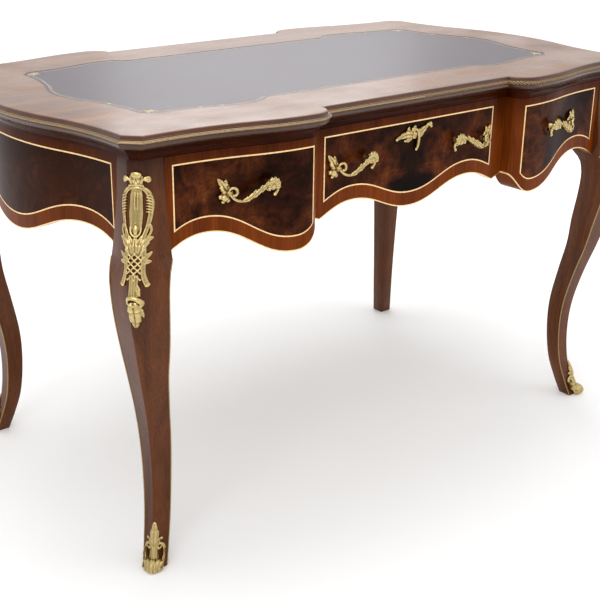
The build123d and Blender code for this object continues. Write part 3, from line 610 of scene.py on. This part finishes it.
def legRing(z):
    # the leg's section: its inner corner, one curved face, and that face mirrored across the cant
    sweep, _, cant = legAt(z)
    reach, edge = innerEdge(z)
    face = [(reach + (sweep - cant - reach) * t, edge + (sweep - edge) * math.sin(math.pi / 2 * t))
            for t in leg["faceShares"]]
    return [(reach, reach)] + face + [(b, a) for a, b in reversed(face)]


def drawLeg():
    # a ring pulled up by extrusion, its corners then set to the leg's section at each height
    sides = len(legRing(0))
    bpy.ops.mesh.primitive_circle_add(vertices=sides, radius=1.0, location=(0, 0, 0))
    blank = bpy.context.active_object
    bpy.ops.object.mode_set(mode="EDIT")
    for _ in range(leg["rings"]):
        bpy.ops.mesh.extrude_region_move(TRANSFORM_OT_translate={"value": (0, 0, 1)})
    bpy.ops.object.mode_set(mode="OBJECT")
    heights = [leg["stations"][-1][0] * i / leg["rings"] for i in range(leg["rings"] + 1)]
    nearest = min(range(len(heights)), key=lambda i: abs(heights[i] - leg["apronEnd"]))
    heights[nearest] = leg["apronEnd"]
    rings = [legRing(z) for z in heights]
    for vertex in blank.data.vertices:
        ring = round(vertex.co.z)
        side = round(math.atan2(vertex.co.x, vertex.co.y) / (2 * math.pi) * sides) % sides
        a, b = rings[ring][side]
        vertex.co = ((leg["corner"][0] + a) * mm, (leg["corner"][1] + b) * mm, heights[ring] * mm)
    bpy.ops.object.mode_set(mode="EDIT")
    bpy.ops.mesh.select_all(action="SELECT")
    bpy.ops.mesh.fill_holes(sides=0)
    bpy.ops.mesh.normals_make_consistent(inside=False)
    bpy.ops.object.mode_set(mode="OBJECT")
    applyModifier(blank, "BEVEL", width=leg["arris"] * mm, segments=2, limit_method="ANGLE",
                  angle_limit=math.radians(28))
    bpy.ops.object.shade_smooth_by_angle(angle=math.radians(32))
    return blank


def turnedCopy(pattern, name, sx, sy, finish):
    # a copy at another corner, mirrored across one or both middle planes
    piece = ownCopy(pattern, name, finish)
    for vertex in piece.data.vertices:
        vertex.co.x *= sx
        vertex.co.y *= sy
    if sx * sy < 0:
        piece.data.flip_normals()
    return piece


def cornerSigns(corner):
    return (-1 if "left" in corner else 1), (-1 if "front" in corner else 1)


def drawLegEdging():
    # brass line let into the two inner arrises, from the foot to the apron
    foot, steps = leg["edgingFoot"], 24
    run = leg["apronEnd"] - leg["edgingTop"] - foot
    lines = []
    for swap in (False, True):
        line = []
        for i in range(steps + 1):
            z = foot + run * i / steps
            reach, edge = innerEdge(z)
            a, b = (edge, reach) if swap else (reach, edge)
            line.append((leg["corner"][0] + a, leg["corner"][1] + b, z, leg["edging"]))
        lines.append(line)
    edging = drawStrands("wire", lines, "MINIMUM")
    bpy.ops.object.shade_smooth()
    return edging


legPattern, edgingPattern = drawLeg(), drawLegEdging()
legPieces = {}
for number, corner in enumerate(corners):
    sx, sy = cornerSigns(corner)
    legWood = mahogany("mahoganyLeg" + str(number), "Z", 3.1 + number, (0.9, 0.98, 0.95), 1.25)
    legPieces[corner] = turnedCopy(legPattern, "legCarved_" + corner, sx, sy, legWood)
    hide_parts("leg_" + corner)
    edging = turnedCopy(edgingPattern, "legEdging_" + corner, sx, sy, brassLine)
    for piece in (legPieces[corner], edging):
        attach(piece, "carcase")
clearAway(legPattern, edgingPattern)
print("legs carved")


# corner mounts
chute = {
    "top": 738.0,  # height of the ornament's own zero
    "spread": 2.0,  # how far to each side the leg's surface is averaged under the casting
    "grain": 0.62,  # voxel size, finer keeps more of the chasing
    "faces": 36000,  # triangles of one casting
}


def drawChute():
    leaves = bothSides([
        leafStrand([(2, -39, 1), (6, -31, 3), (9, -23, 2)], 5.8, 2, 0.15),
        leafStrand([(6, -142, 1), (11, -129, 3), (18, -120, 4.4), (26, -117.5, 3)], 7.4, 3, 0.22),
        leafStrand([(2, -140, 2), (5, -126, 4), (11, -112, 4)], 6.2, 2, 0.2),
        leafStrand([(11, -150, 1), (17, -145, 2.8), (25, -138.5, 3)], 5, 2, 0.15, 0.9),
        leafStrand([(11, -149, 1), (18, -152, 2.8), (24.5, -152.5, 3)], 4.6, 2, 0.15, 0.9),
    ])
    leaves += [
        leafStrand([(0, -39, 2), (0, -29, 4.4), (0, -18.5, 3)], 7, 2, 0.12),
        leafStrand([(0, -141, 2), (0, -126, 4.8), (0, -112.5, 4)], 6.4, 2, 0.2),
        leafStrand([(-1, -212, 2), (0, -228, 4.6), (1, -246, 3.6), (0, -258, 1.6)], 11.5, 3, 0.3, 0.8),
        leafStrand([(5, -219, 3), (11, -228, 4), (13.5, -240, 2.5)], 3.8, 2, 0.25),
        leafStrand([(4, -184, 3), (7.5, -193, 4), (9.5, -203, 3)], 4.2, 2, 0.25, 0.8),
    ]
    straps = bothSides([
        [(6, -35, 1.5, 3.2), (8.5, -41, 2.5, 3.2), (15, -46, 2, 3.4), (20.5, -58, 1.8, 3.9),
         (21.8, -72, 1.8, 3.9), (20.3, -88, 1.8, 3.3), (17.5, -101, 2, 3), (13.5, -112, 2.2, 3.4),
         (9, -122, 2.4, 4)],
        [(13.4, -126, 1.5, 3), (14, -140, 2, 3.4), (13.6, -156, 2, 3.2), (14.2, -168, 2, 3.2),
         (16.5, -178, 2.2, 3.4), (19.5, -186, 2.4, 3.4)],
    ])
    wires = bothSides([
        [(4, -37, 2, 2.4), (8, -31.5, 3, 2.6), (13, -28, 3.2, 2.6), (18.5, -28, 3, 2.5),
         (19.8, -31.5, 3, 2.3), (17, -33, 3, 2)],
        [(15.5, -99, 3, 1.6), (20, -98, 3, 1.6), (22.6, -104, 3, 1.7), (21.4, -111, 3, 1.7),
         (17, -117, 3, 2)],
        [(8.6, -99, 3, 1.4), (7.6, -107, 4.4, 1.7), (4.4, -112, 4.8, 1.9), (0, -114, 5, 2)],
    ] + [
        [(15.5, -52 - 4.2 * i, 4.1, 0.75), (19.8, -53.6 - 4.2 * i, 4.6, 1.0),
         (24.4, -57.2 - 4.2 * i, 3.4, 0.7)]
        for i in range(7)
    ] + [
        [(11, -130 - 9.5 * i, 2.2, 1.5), (0, -139.5 - 9.5 * i, 3.2, 1.5), (-11, -149 - 9.5 * i, 2.2, 1.5)]
        for i in range(4)
    ])
    wires += [
        [(-9.5, -43, 3, 1.6), (-5, -41.6, 5, 1.9), (5, -41.6, 5, 1.9), (9.5, -43, 3, 1.6)],
        [(-12, -39, 2.4, 1.8), (0, -37.4, 5, 2.2), (12, -39, 2.4, 1.8)],
        [(-12, -213, 2, 2.4), (-8, -206, 4, 3.4), (1, -205, 5, 3.9), (9, -209, 4.4, 4.2),
         (12.4, -215, 3.4, 3.6), (9, -221, 3, 2.4)],
        [(-12, -214, 3, 2), (-4, -217, 5, 2.3), (5, -221.5, 4.4, 2.1)],
    ]
    wires += [[(u, -50, 3.2, 0.8), (1.1 * u, -62, 4, 1.2), (1.12 * u, -76 + abs(u), 3.6, 0.6)]
              for u in (-6, -2, 2, 6)]
    hollow = [[(0, -43, 0.4, 8.4), (0, -54, 1, 10.2), (0, -78, 1, 11.2), (0, -97, 0.8, 10.2),
               (0, -109, 0.6, 7), (0, -116, 0.4, 3)]]
    flutes = [[(0, -170, 0.4, 8), (0, -182, 1.2, 7.4), (-0.5, -194, 1.4, 7.4), (-1, -206, 1.4, 8.4)]]
    balls = bothBalls([(16.4, -28, 3.2, 5.2, 4.8, 3.2), (20, -186.5, 2.6, 3.9, 3.7, 2.8)])
    balls += [(0, -22.5, 3.6, 8.6, 6.2, 3.6), (0, -104, 4.6, 4, 8, 3), (0, -36, 4.4, 4, 3, 3)]
    balls += [(0, -139.5 - 9.5 * i, 3.6, 2.5, 2.5, 2.2) for i in range(5)]
    drawn = [drawStrands("leaf", leaves), drawStrands("strap", straps), drawStrands("wire", wires),
             drawStrands("hollow", hollow), drawStrands("flute", flutes)] + addBalls(balls)
    return castInOne("chutePattern", drawn, chute["grain"], chute["faces"])


chutePattern = drawChute()
print("corner mount cast:", len(chutePattern.data.polygons), "faces")
for corner in corners:
    sx, sy = cornerSigns(corner)
    centre = (sx * leg["corner"][0] * mm, sy * leg["corner"][1] * mm, chute["top"] * mm)
    piece = layOn(chutePattern, "chuteCast_" + corner, surfaceOf(legPieces[corner]), centre, (sx, sy, 0),
                  sx * sy < 0, chute["spread"])
    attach(piece, "carcase")
    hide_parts("chute_" + corner)
clearAway(chutePattern)
print("corner mounts laid on")


# shoes under the feet
shoe = {"spread": 2.5, "grain": 0.6, "faces": 22000}


def drawShoe():
    leaves = bothSides([leafStrand([(2.5, 34, 2), (6, 43, 3.4), (9.5, 51, 4)], 4, 2, 0.2)])
    leaves.append(leafStrand([(0, 44, 3), (0, 55, 4.6), (0, 68, 3.8), (0, 83, 1.6)], 9.4, 3, 0.16))
    leaves.append(leafStrand([(0, 46, 5), (0, 58, 6.4), (0, 72, 4.6)], 2.2, 1, 0.0))
    wires = bothSides([
        [(2.5, 40, 3, 1.7), (5, 47, 4.4, 1.8), (8.4, 52.6, 5, 1.9), (12, 54, 5, 1.8), (13, 51.4, 5, 1.5)],
        [(4, 40, 4, 1.6), (8.6, 45, 4.6, 1.8), (13.6, 42.6, 4.6, 1.9), (16.8, 35, 4.2, 2),
         (17.6, 26, 4.4, 2.1), (16, 15, 7.5, 2.4), (14, 9, 10, 2.4)],
        [(12.6, 39.6, 5, 1.4), (9.6, 36.6, 5, 1.5), (7.4, 39.4, 4.6, 1.4)],
    ])
    flutes = [[(0, 10, 1, 9.2), (0, 22, 1.8, 8.8), (0, 34, 2, 7.6), (0, 46, 1.6, 5)]]
    balls = bothBalls([(8, 11.2, 10.6, 7.4, 10.8, 9.2), (13.6, 9.6, 13, 5.4, 9.2, 6.8)])
    balls.append((0, 12, 9.4, 8, 11.8, 10))
    drawn = [drawStrands("leaf", leaves), drawStrands("wire", wires),
             drawStrands("flute", flutes)] + addBalls(balls)
    return castInOne("shoePattern", drawn, shoe["grain"], shoe["faces"], -3.0)


shoePattern = drawShoe()
for corner in corners:
    sx, sy = cornerSigns(corner)
    centre = (sx * leg["corner"][0] * mm, sy * leg["corner"][1] * mm, 0.0)
    piece = layOn(shoePattern, "shoeCast_" + corner, surfaceOf(legPieces[corner]), centre, (sx, sy, 0),
                  sx * sy < 0, shoe["spread"])
    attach(piece, "carcase")
    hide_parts("shoe_" + corner)
clearAway(shoePattern)
print("shoes laid on")


# drawer pulls: one pattern, mirrored on the right-hand half of the front and of the back
pull = {
    "height": 668.0,
    "sideX": 387.0,
    "sideY": 357.59,
    "sideTurn": 14.595,  # degrees that the bowed front is turned there
    "middleX": 150.0,
    "middleY": 338.0,
    "grain": 0.5,
    "faces": 22000,
}


def addPosts(posts):
    # each post is (u, v, foot w, head w, foot radius, head radius)
    made = []
    for u, v, foot, head, wide, slim in posts:
        bpy.ops.mesh.primitive_cone_add(vertices=20, radius1=wide * mm, radius2=slim * mm,
                                        depth=(head - foot) * mm,
                                        location=(u * mm, v * mm, (foot + head) / 2 * mm))
        post = bpy.context.active_object
        bpy.ops.object.mode_set(mode="EDIT")
        bpy.ops.mesh.bevel(offset=0.8 * mm, segments=2)
        bpy.ops.object.mode_set(mode="OBJECT")
        made.append(post)
    return made


def drawPull():
    curl = [(-38, 0, 11, 2.5), (-35.5, 6.5, 14, 2.7), (-29, 7, 16, 2.8), (-25.4, 1, 17, 2.7),
            (-28.4, -4.6, 17, 2.5), (-33, -4, 16, 2.3)]
    bar = [(-36, -4, 14, 2.5), (-31, -10, 17, 2.5), (-22, -14, 19, 2.6), (-12, -14, 20, 2.9),
           (-2, -10, 20, 3.4), (8, -4, 19.6, 3.5), (17, 2, 19, 3.1), (26, 8, 18, 2.9), (35, 11, 16.6, 3.2),
           (43.5, 8.5, 13.6, 3.2), (48.4, 1, 10.6, 2.8), (48.6, -7, 8.4, 2.6), (45, -12.6, 7, 3)]
    leaves = [
        leafStrand([(-35, -3, 3), (-42, 4, 5), (-47, 12, 5), (-54, 22, 2.4)], 9.6, 3, 0.2, 0.7),
        leafStrand([(-38, 2, 4), (-41, 12, 5.4), (-40, 20, 3)], 5, 2, 0.2),
        leafStrand([(-18, -14, 22.5), (-8, -10, 24.5), (0, -3.5, 25), (5, 3.5, 23.5)], 5, 3, 0.26),
        leafStrand([(-6, -10, 22.6), (4, -4.5, 24.6), (11.5, 2, 24.4), (17, 9.5, 22.6)], 5, 3, 0.26),
        leafStrand([(7, -4, 21.6), (15, 1.5, 23.6), (22, 7.5, 22.6), (27, 14, 21)], 4.4, 3, 0.26),
        leafStrand([(30, -2, 2), (38, -4, 4), (46, -3, 3)], 5, 2, 0.2),
    ]
    fanX, fanY = 38, 2  # middle of the fan of petals
    for angle, length in ((176, 13), (150, 15), (126, 17), (102, 18.5), (78, 19), (54, 18.5), (30, 17.5),
                          (4, 16)):
        ca, sa = math.cos(math.radians(angle)), math.sin(math.radians(angle))
        petal = [(fanX + r * ca, fanY + r * sa, w)
                 for r, w in ((2, 14), (0.62 * length, 18), (0.92 * length, 13))]
        leaves.append(leafStrand(petal, 4.6, 1, 0.0, 0.75))
    balls = [(-43, -10, 5, 7.4, 7, 6.4), (-50, -8, 4, 5, 4.6, 4.6), (-38, -14.5, 4, 5, 4.6, 4.4),
             (-46, -16, 3.8, 4.2, 4, 4), (-34, -2, 8, 5.4, 5.4, 5), (38, 3, 13, 8, 7.4, 5.4),
             (44.6, -13, 6.4, 3.7, 3.7, 3.7), (-38, 0, 10, 3.6, 3.6, 3.6)]
    posts = [(-35, -3, -1, 14, 7.4, 4), (36, 4, -1, 14, 9, 5.2)]
    drawn = [drawStrands("wire", [curl, bar]), drawStrands("leaf", leaves)]
    drawn += addBalls(balls) + addPosts(posts)
    return castInOne("pullPattern", drawn, pull["grain"], pull["faces"], -0.6)


def hangPull(name, sx, sy, side, surface):
    # sx and sy say which half of the desk, side says whether it hangs on a side drawer
    x, y = (pull["sideX"], pull["sideY"]) if side else (pull["middleX"], pull["middleY"])
    turn = math.radians(pull["sideTurn"]) if side else 0
    outward = (sx * math.sin(turn), sy * math.cos(turn), 0)
    centre = (sx * x * mm, sy * y * mm, pull["height"] * mm)
    return layOn(pullPattern, name, surface, centre, outward, sx * sy < 0)


pullPattern = drawPull()
print("pull cast:", len(pullPattern.data.polygons), "faces")
faceOf = {name: surfaceOf(nodes["drawer_" + name + "_front"], nodes["drawer_" + name + "_veneer"])
          for name in ("left", "middle", "right")}
backFace = surfaceOf(nodes["back_apron"], nodes["back_veneer"])
leftPull = hangPull("pullCast_left", -1, -1, True, faceOf["left"])
rightPull = hangPull("pullCast_right", 1, -1, True, faceOf["right"])
middlePulls = joinUp("pullCast_middle", [
    hangPull("pullCast_middle" + str(sx), sx, -1, False, faceOf["middle"]) for sx in (-1, 1)])
backPlaces = ((-1, True), (-1, False), (1, False), (1, True))
backPulls = joinUp("pullCast_back", [hangPull("pullCast_back" + str(i), sx, 1, side, backFace)
                                     for i, (sx, side) in enumerate(backPlaces)])
for piece, body, node in ((leftPull, "drawer_left", "pull_left"),
                          (rightPull, "drawer_right", "pull_right"),
                          (middlePulls, "drawer_middle", "pulls_middle"),
                          (backPulls, "carcase", "pulls_back")):
    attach(piece, body)
    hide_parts(node)
clearAway(pullPattern)
print("pulls hung")


# escutcheon of the middle drawer's lock
escutcheon = {"height": 697.0, "grain": 0.45, "faces": 20000}


def drawEscutcheon():
    leaves = [
        leafStrand([(-2, 0, 2), (-15, 3, 3.6), (-28, 2, 3.2), (-44, -3, 1.6)], 8.2, 4, 0.26),
        leafStrand([(-5, -2, 2), (-14, -7, 3), (-25, -8.5, 2)], 5, 3, 0.25),
        leafStrand([(-10, 4, 2), (-15, 11, 3), (-12, 17, 2)], 4.2, 2, 0.2),
        leafStrand([(-4, 5, 2), (-1, 12, 3.4), (3, 18, 2)], 6, 2, 0.2),
        leafStrand([(4, 1, 2), (15, 5, 3.6), (26, 10, 3.2), (39, 17, 2)], 7.4, 3, 0.24),
        leafStrand([(9, -2, 2), (18, -1, 3), (26, 4, 2)], 4.6, 2, 0.25),
        leafStrand([(-2, -6, 3), (0, 0, 4), (3, 7, 3.6)], 5.4, 1, 0.0, 0.8),
    ]
    tail = [[(-1, 12, 4, 2.0), (5.4, 8.4, 5.4, 2.8), (8.6, 0, 5.2, 3.1), (9.4, -11, 4.6, 3.1),
             (8.2, -21, 3.8, 2.9), (6, -27, 3, 2.2)]]
    balls = [(39, 15.5, 2.8, 5.4, 5, 3.2), (42, 11.5, 2.4, 3.6, 3.6, 2.6), (34, 15.5, 2.6, 3.6, 3.4, 2.8),
             (-42, -3, 2, 3.6, 3.2, 2.4), (6, -27, 2.8, 3, 3, 2.6), (1, 2, 4, 4.4, 4.4, 2.6)]
    drawn = [drawStrands("leaf", leaves), drawStrands("wire", tail)] + addBalls(balls)
    return castInOne("escutcheonPattern", drawn, escutcheon["grain"], escutcheon["faces"], -0.5)


escutcheonPattern = drawEscutcheon()
keyPlate = layOn(escutcheonPattern, "escutcheonCast", faceOf["middle"],
                 (0, -pull["middleY"] * mm, escutcheon["height"] * mm), (0, -1, 0))
clearAway(escutcheonPattern)
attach(keyPlate, "drawer_middle")
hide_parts("escutcheon")
print("escutcheon laid on")


# serpentine plans in millimetres: x and y meet at the corner before its cant, middle and bow are the
# depths in the middle and at the side bows, and end is the reach of the bulging ends
topPlan = {"x": 600, "y": 352, "middle": 352, "cant": 22, "bow": 388.5, "shoulder": 270.5, "radius": 38.5,
           "bowEnd": 540, "bowRadius": 420, "end": 648, "flat": 20, "endRadius": 520}
leatherPlan = {"x": 499, "y": 232, "middle": 235, "cant": 19, "bow": 257, "shoulder": 302, "radius": 60,
               "bowEnd": 470, "bowRadius": 240, "end": 540, "flat": 12, "endRadius": 360}


def serpentine(plan, out, step):
    # a quarter of the outline grown by out, then the whole of it, as points that lie step apart
    quarter = []
    arcStep = 3  # millimetres between the points of an arc, before they are spaced evenly

    def arc(cx, cy, r, start, sweep):
        count = max(2, int(abs(math.radians(sweep)) * r / arcStep))
        for i in range(count + 1):
            angle = math.radians(start + sweep * i / count)
            quarter.append(Vector((cx + r * math.cos(angle), cy + r * math.sin(angle))))

    shoulderY, r = plan["bow"] - plan["radius"], plan["radius"] + out
    rise = plan["middle"] + out - shoulderY
    start = 180 + math.degrees(math.asin(rise / r)) if rise > 0 else 180
    quarter.append(Vector((0, -plan["middle"] - out)))
    if rise <= 0:
        quarter.append(Vector((plan["shoulder"] - r, -plan["middle"] - out)))
    arc(plan["shoulder"], -shoulderY, r, start, 270 - start)
    run = plan["bowEnd"] - plan["shoulder"]
    bow = 2 * math.atan((plan["bow"] - plan["y"]) / run)
    hollow = run / math.sin(bow) - plan["bowRadius"]
    arc(plan["shoulder"], plan["bowRadius"] - plan["bow"], plan["bowRadius"] + out, 270, math.degrees(bow))
    arc(plan["bowEnd"], -plan["y"] - hollow, hollow - out, 90 + math.degrees(bow), -math.degrees(bow))
    slip = out * math.tan(math.pi / 8)
    endStart = plan["y"] - plan["cant"] - plan["flat"]
    turn = 2 * math.atan((plan["end"] - plan["x"]) / endStart)
    bulge = endStart / math.sin(turn) - plan["endRadius"]
    quarter += [Vector((plan["x"] - plan["cant"] + slip, -plan["y"] - out)),
                Vector((plan["x"] + out, -plan["y"] + plan["cant"] - slip))]
    arc(plan["x"] + plan["endRadius"], -endStart, plan["endRadius"] - out, 180, -math.degrees(turn))
    arc(plan["end"] - bulge, 0, bulge + out, -math.degrees(turn), math.degrees(turn))
    half = quarter + [Vector((p.x, -p.y)) for p in reversed(quarter)]
    whole = half + [Vector((-p.x, p.y)) for p in reversed(half)]
    even, spare = [whole[0]], 0.0
    for a, b in zip(whole, whole[1:] + whole[:1]):
        span = (b - a).length
        at = step - spare
        while at < span:
            even.append(a + (b - a) * (at / span))
            at += step
        spare = (spare + span) % step if span else spare
    return even


rope = {
    "out": 7.7,  # how far outside the plan its middle runs
    "height": 770.3,
    "half": 3.3,
    "pitch": 21.0,  # length of one full turn
    "strands": 3,
    "depth": 0.5,  # of the grooves between the strands, as a share of half
    "sides": 18,
    "step": 1.5,  # between one section and the next
}


def drawRope():
    # three strands laid round each other in the groove of the top's edge
    line = serpentine(topPlan, rope["out"], rope["step"])
    outline = []
    for i in range(rope["sides"]):
        angle = 2 * math.pi * i / rope["sides"]
        lobe = 1 - rope["depth"] * (1 - abs(math.cos(rope["strands"] * angle / 2)))
        outline.append((lobe * math.cos(angle), lobe * math.sin(angle)))
    sections["rope"] = crossSection("ropeSection", outline)
    holder, curve = emptyCurve("rope", "Z_UP")
    spline = curve.splines.new("POLY")
    spline.points.add(len(line) - 1)
    spline.use_cyclic_u = True
    turns = round(rope["step"] * len(line) / rope["pitch"])
    for i, (knot, place) in enumerate(zip(spline.points, line)):
        knot.co = (place.x * mm, place.y * mm, rope["height"] * mm, 1)
        knot.radius = rope["half"]
        knot.tilt = 2 * math.pi * turns * i / len(line)
    bead = madeMesh(holder)
    bead.name = bead.data.name = "ropeBead"
    bpy.ops.object.shade_smooth()
    crest = bead.data.attributes.new("crest", "FLOAT", "POINT")  # 1 on the strands, less in the grooves
    for i, vertex in enumerate(bead.data.vertices):
        place = line[i // len(outline)]
        out = (vertex.co - Vector((place.x, place.y, rope["height"])) * mm).length
        crest.data[i].value = out / (rope["half"] * mm)
    bead.data.materials.append(ropeGilt)
    return bead


bead = drawRope()
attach(bead, "carcase")
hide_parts("rope_bead")
print("rope bead laid:", len(bead.data.polygons), "faces")


tooling = {
    "height": 779.62,
    "lines": ((-8.0, 0.9), (-11.5, 0.35)),  # how far from the leather's edge, and half the width
    "step": 4.0,
    "corner": 24.0,  # how far inside the plan's corner a spray stands
    "spray": ((0, 17), (38, 13), (-38, 13), (90, 14), (-90, 14), (180, 9)),  # turn and length of its leaves
}


def drawTooling():
    # thin gilt lines and a small spray in each corner, pressed in the leather
    strands = []
    for out, half in tooling["lines"]:
        line = serpentine(leatherPlan, out, tooling["step"])
        strands.append([(p.x, p.y, tooling["height"], half) for p in line + line[:1]])
    for sx in (-1, 1):
        for sy in (-1, 1):
            cx = sx * (leatherPlan["x"] - tooling["corner"])
            cy = sy * (leatherPlan["y"] - tooling["corner"])
            for angle, length in tooling["spray"]:
                a = math.atan2(sy, sx) + math.radians(angle)
                spine = [(cx + r * math.cos(a), cy + r * math.sin(a), tooling["height"])
                         for r in (0, 0.55 * length, length)]
                strands.append(leafStrand(spine, 2.8, 1, 0.0, 0.4))
    sections["foil"] = crossSection("foilSection", [(-1, 0), (1, 0), (0.9, 0.12), (-0.9, 0.12)])
    foil = drawStrands("foil", strands)
    foil.name = foil.data.name = "leatherTooling"
    foil.data.materials.append(goldLeaf)
    return foil


foil = drawTooling()
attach(foil, "carcase")
print("leather tooled")


# plain white studio: a floor, four softboxes and the world
studio = {
    "floorSize": 40.0,
    "floorColour": (0.86, 0.86, 0.86),
    "floorLift": (0.10, 0.36),  # light added near the desk and far from it, where the floor is seen directly
    "liftReach": (0.5, 2.0),  # metres over which the lift grows
    "worldLevel": 0.88,
    "lamps": (  # place, aim, size and power of each softbox
        ("keyBox", (-2.6, -2.2, 3.2), (0, 0, 0.5), 2.2, 42.0),
        ("fillBox", (2.8, -3.0, 2.2), (0, 0, 0.5), 2.6, 14.0),
        ("topBox", (0.2, 0.5, 3.4), (0, 0, 0.5), 2.2, 40.0),
        ("sheenBox", (1.95, 2.7, 2.3), (0, 0, 0.78), 1.6, 12.0),
    ),
}


def seenDirectly(tree):
    # 1 for rays from the camera or off a gloss or through glass
    rays = addNode(tree, "LightPath").outputs
    seen = addMath(tree, "MAXIMUM", rays["Is Camera Ray"], rays["Is Glossy Ray"])
    return addMath(tree, "MAXIMUM", seen, rays["Is Transmission Ray"])


def buildWorld():
    world = bpy.data.worlds.new("studioWorld")
    bpy.context.scene.world = world
    world.use_nodes = True
    tree = world.node_tree
    back = tree.nodes["Background"]
    back.inputs["Color"].default_value = (1, 1, 1, 1)
    level = addNode(tree, "MapRange", {"Value": seenDirectly(tree), "To Max": 1.0,
                                       "To Min": studio["worldLevel"]})
    tree.links.new(level.outputs[0], back.inputs["Strength"])


def buildFloor():
    bpy.ops.mesh.primitive_plane_add(size=studio["floorSize"])
    floor = bpy.context.active_object
    floor.name = "studioFloor"
    mat, tree, shader, coord = newMaterial("studioFloor")
    shader.inputs["Base Color"].default_value = (*studio["floorColour"], 1)
    shader.inputs["Roughness"].default_value = 0.9
    shader.inputs["Specular IOR Level"].default_value = 0.1
    shader.inputs["Emission Color"].default_value = (1, 1, 1, 1)
    reach = addNode(tree, "VectorMath", {0: coord.outputs["Object"]}, operation="LENGTH")
    near, far = studio["liftReach"]
    least, most = studio["floorLift"]
    level = addNode(tree, "MapRange", {"Value": reach.outputs["Value"], "From Min": near,
                                       "From Max": far, "To Min": least, "To Max": most})
    lift = addMath(tree, "MULTIPLY", seenDirectly(tree), level.outputs[0])
    tree.links.new(lift, shader.inputs["Emission Strength"])
    floor.data.materials.append(mat)
    bpy.ops.object.select_all(action="DESELECT")


def buildLamps():
    for name, place, aim, size, power in studio["lamps"]:
        bpy.ops.object.light_add(type="AREA", location=place)
        lamp = bpy.context.active_object
        lamp.name = name
        lamp.data.size = size
        lamp.data.energy = power
        lamp.rotation_euler = (Vector(aim) - Vector(place)).to_track_quat("-Z", "Y").to_euler()
        lamp.visible_camera = False


camera = {
    "place": (-1.4115, -1.7531, 1.1622),
    "down": 22.07,  # degrees below level
    "turn": 37.089,  # degrees to the right of straight ahead
    "lens": 66.396,
    "sensor": 36.0,
    "shift": (0.0613, 0.0117),
    "clip": (0.05, 60.0),
}


def buildCamera():
    tilt, turn = math.radians(90 - camera["down"]), -math.radians(camera["turn"])
    bpy.ops.object.camera_add(location=camera["place"], rotation=(tilt, 0, turn))
    cam = bpy.context.active_object
    cam.data.sensor_width = camera["sensor"]
    cam.data.lens = camera["lens"]
    cam.data.shift_x, cam.data.shift_y = camera["shift"]
    cam.data.clip_start, cam.data.clip_end = camera["clip"]
    bpy.context.scene.camera = cam
    bpy.context.scene.view_settings.view_transform = "Standard"


buildWorld()
buildFloor()
buildLamps()
buildCamera()
print("studio ready")

clearAway(*sections.values())
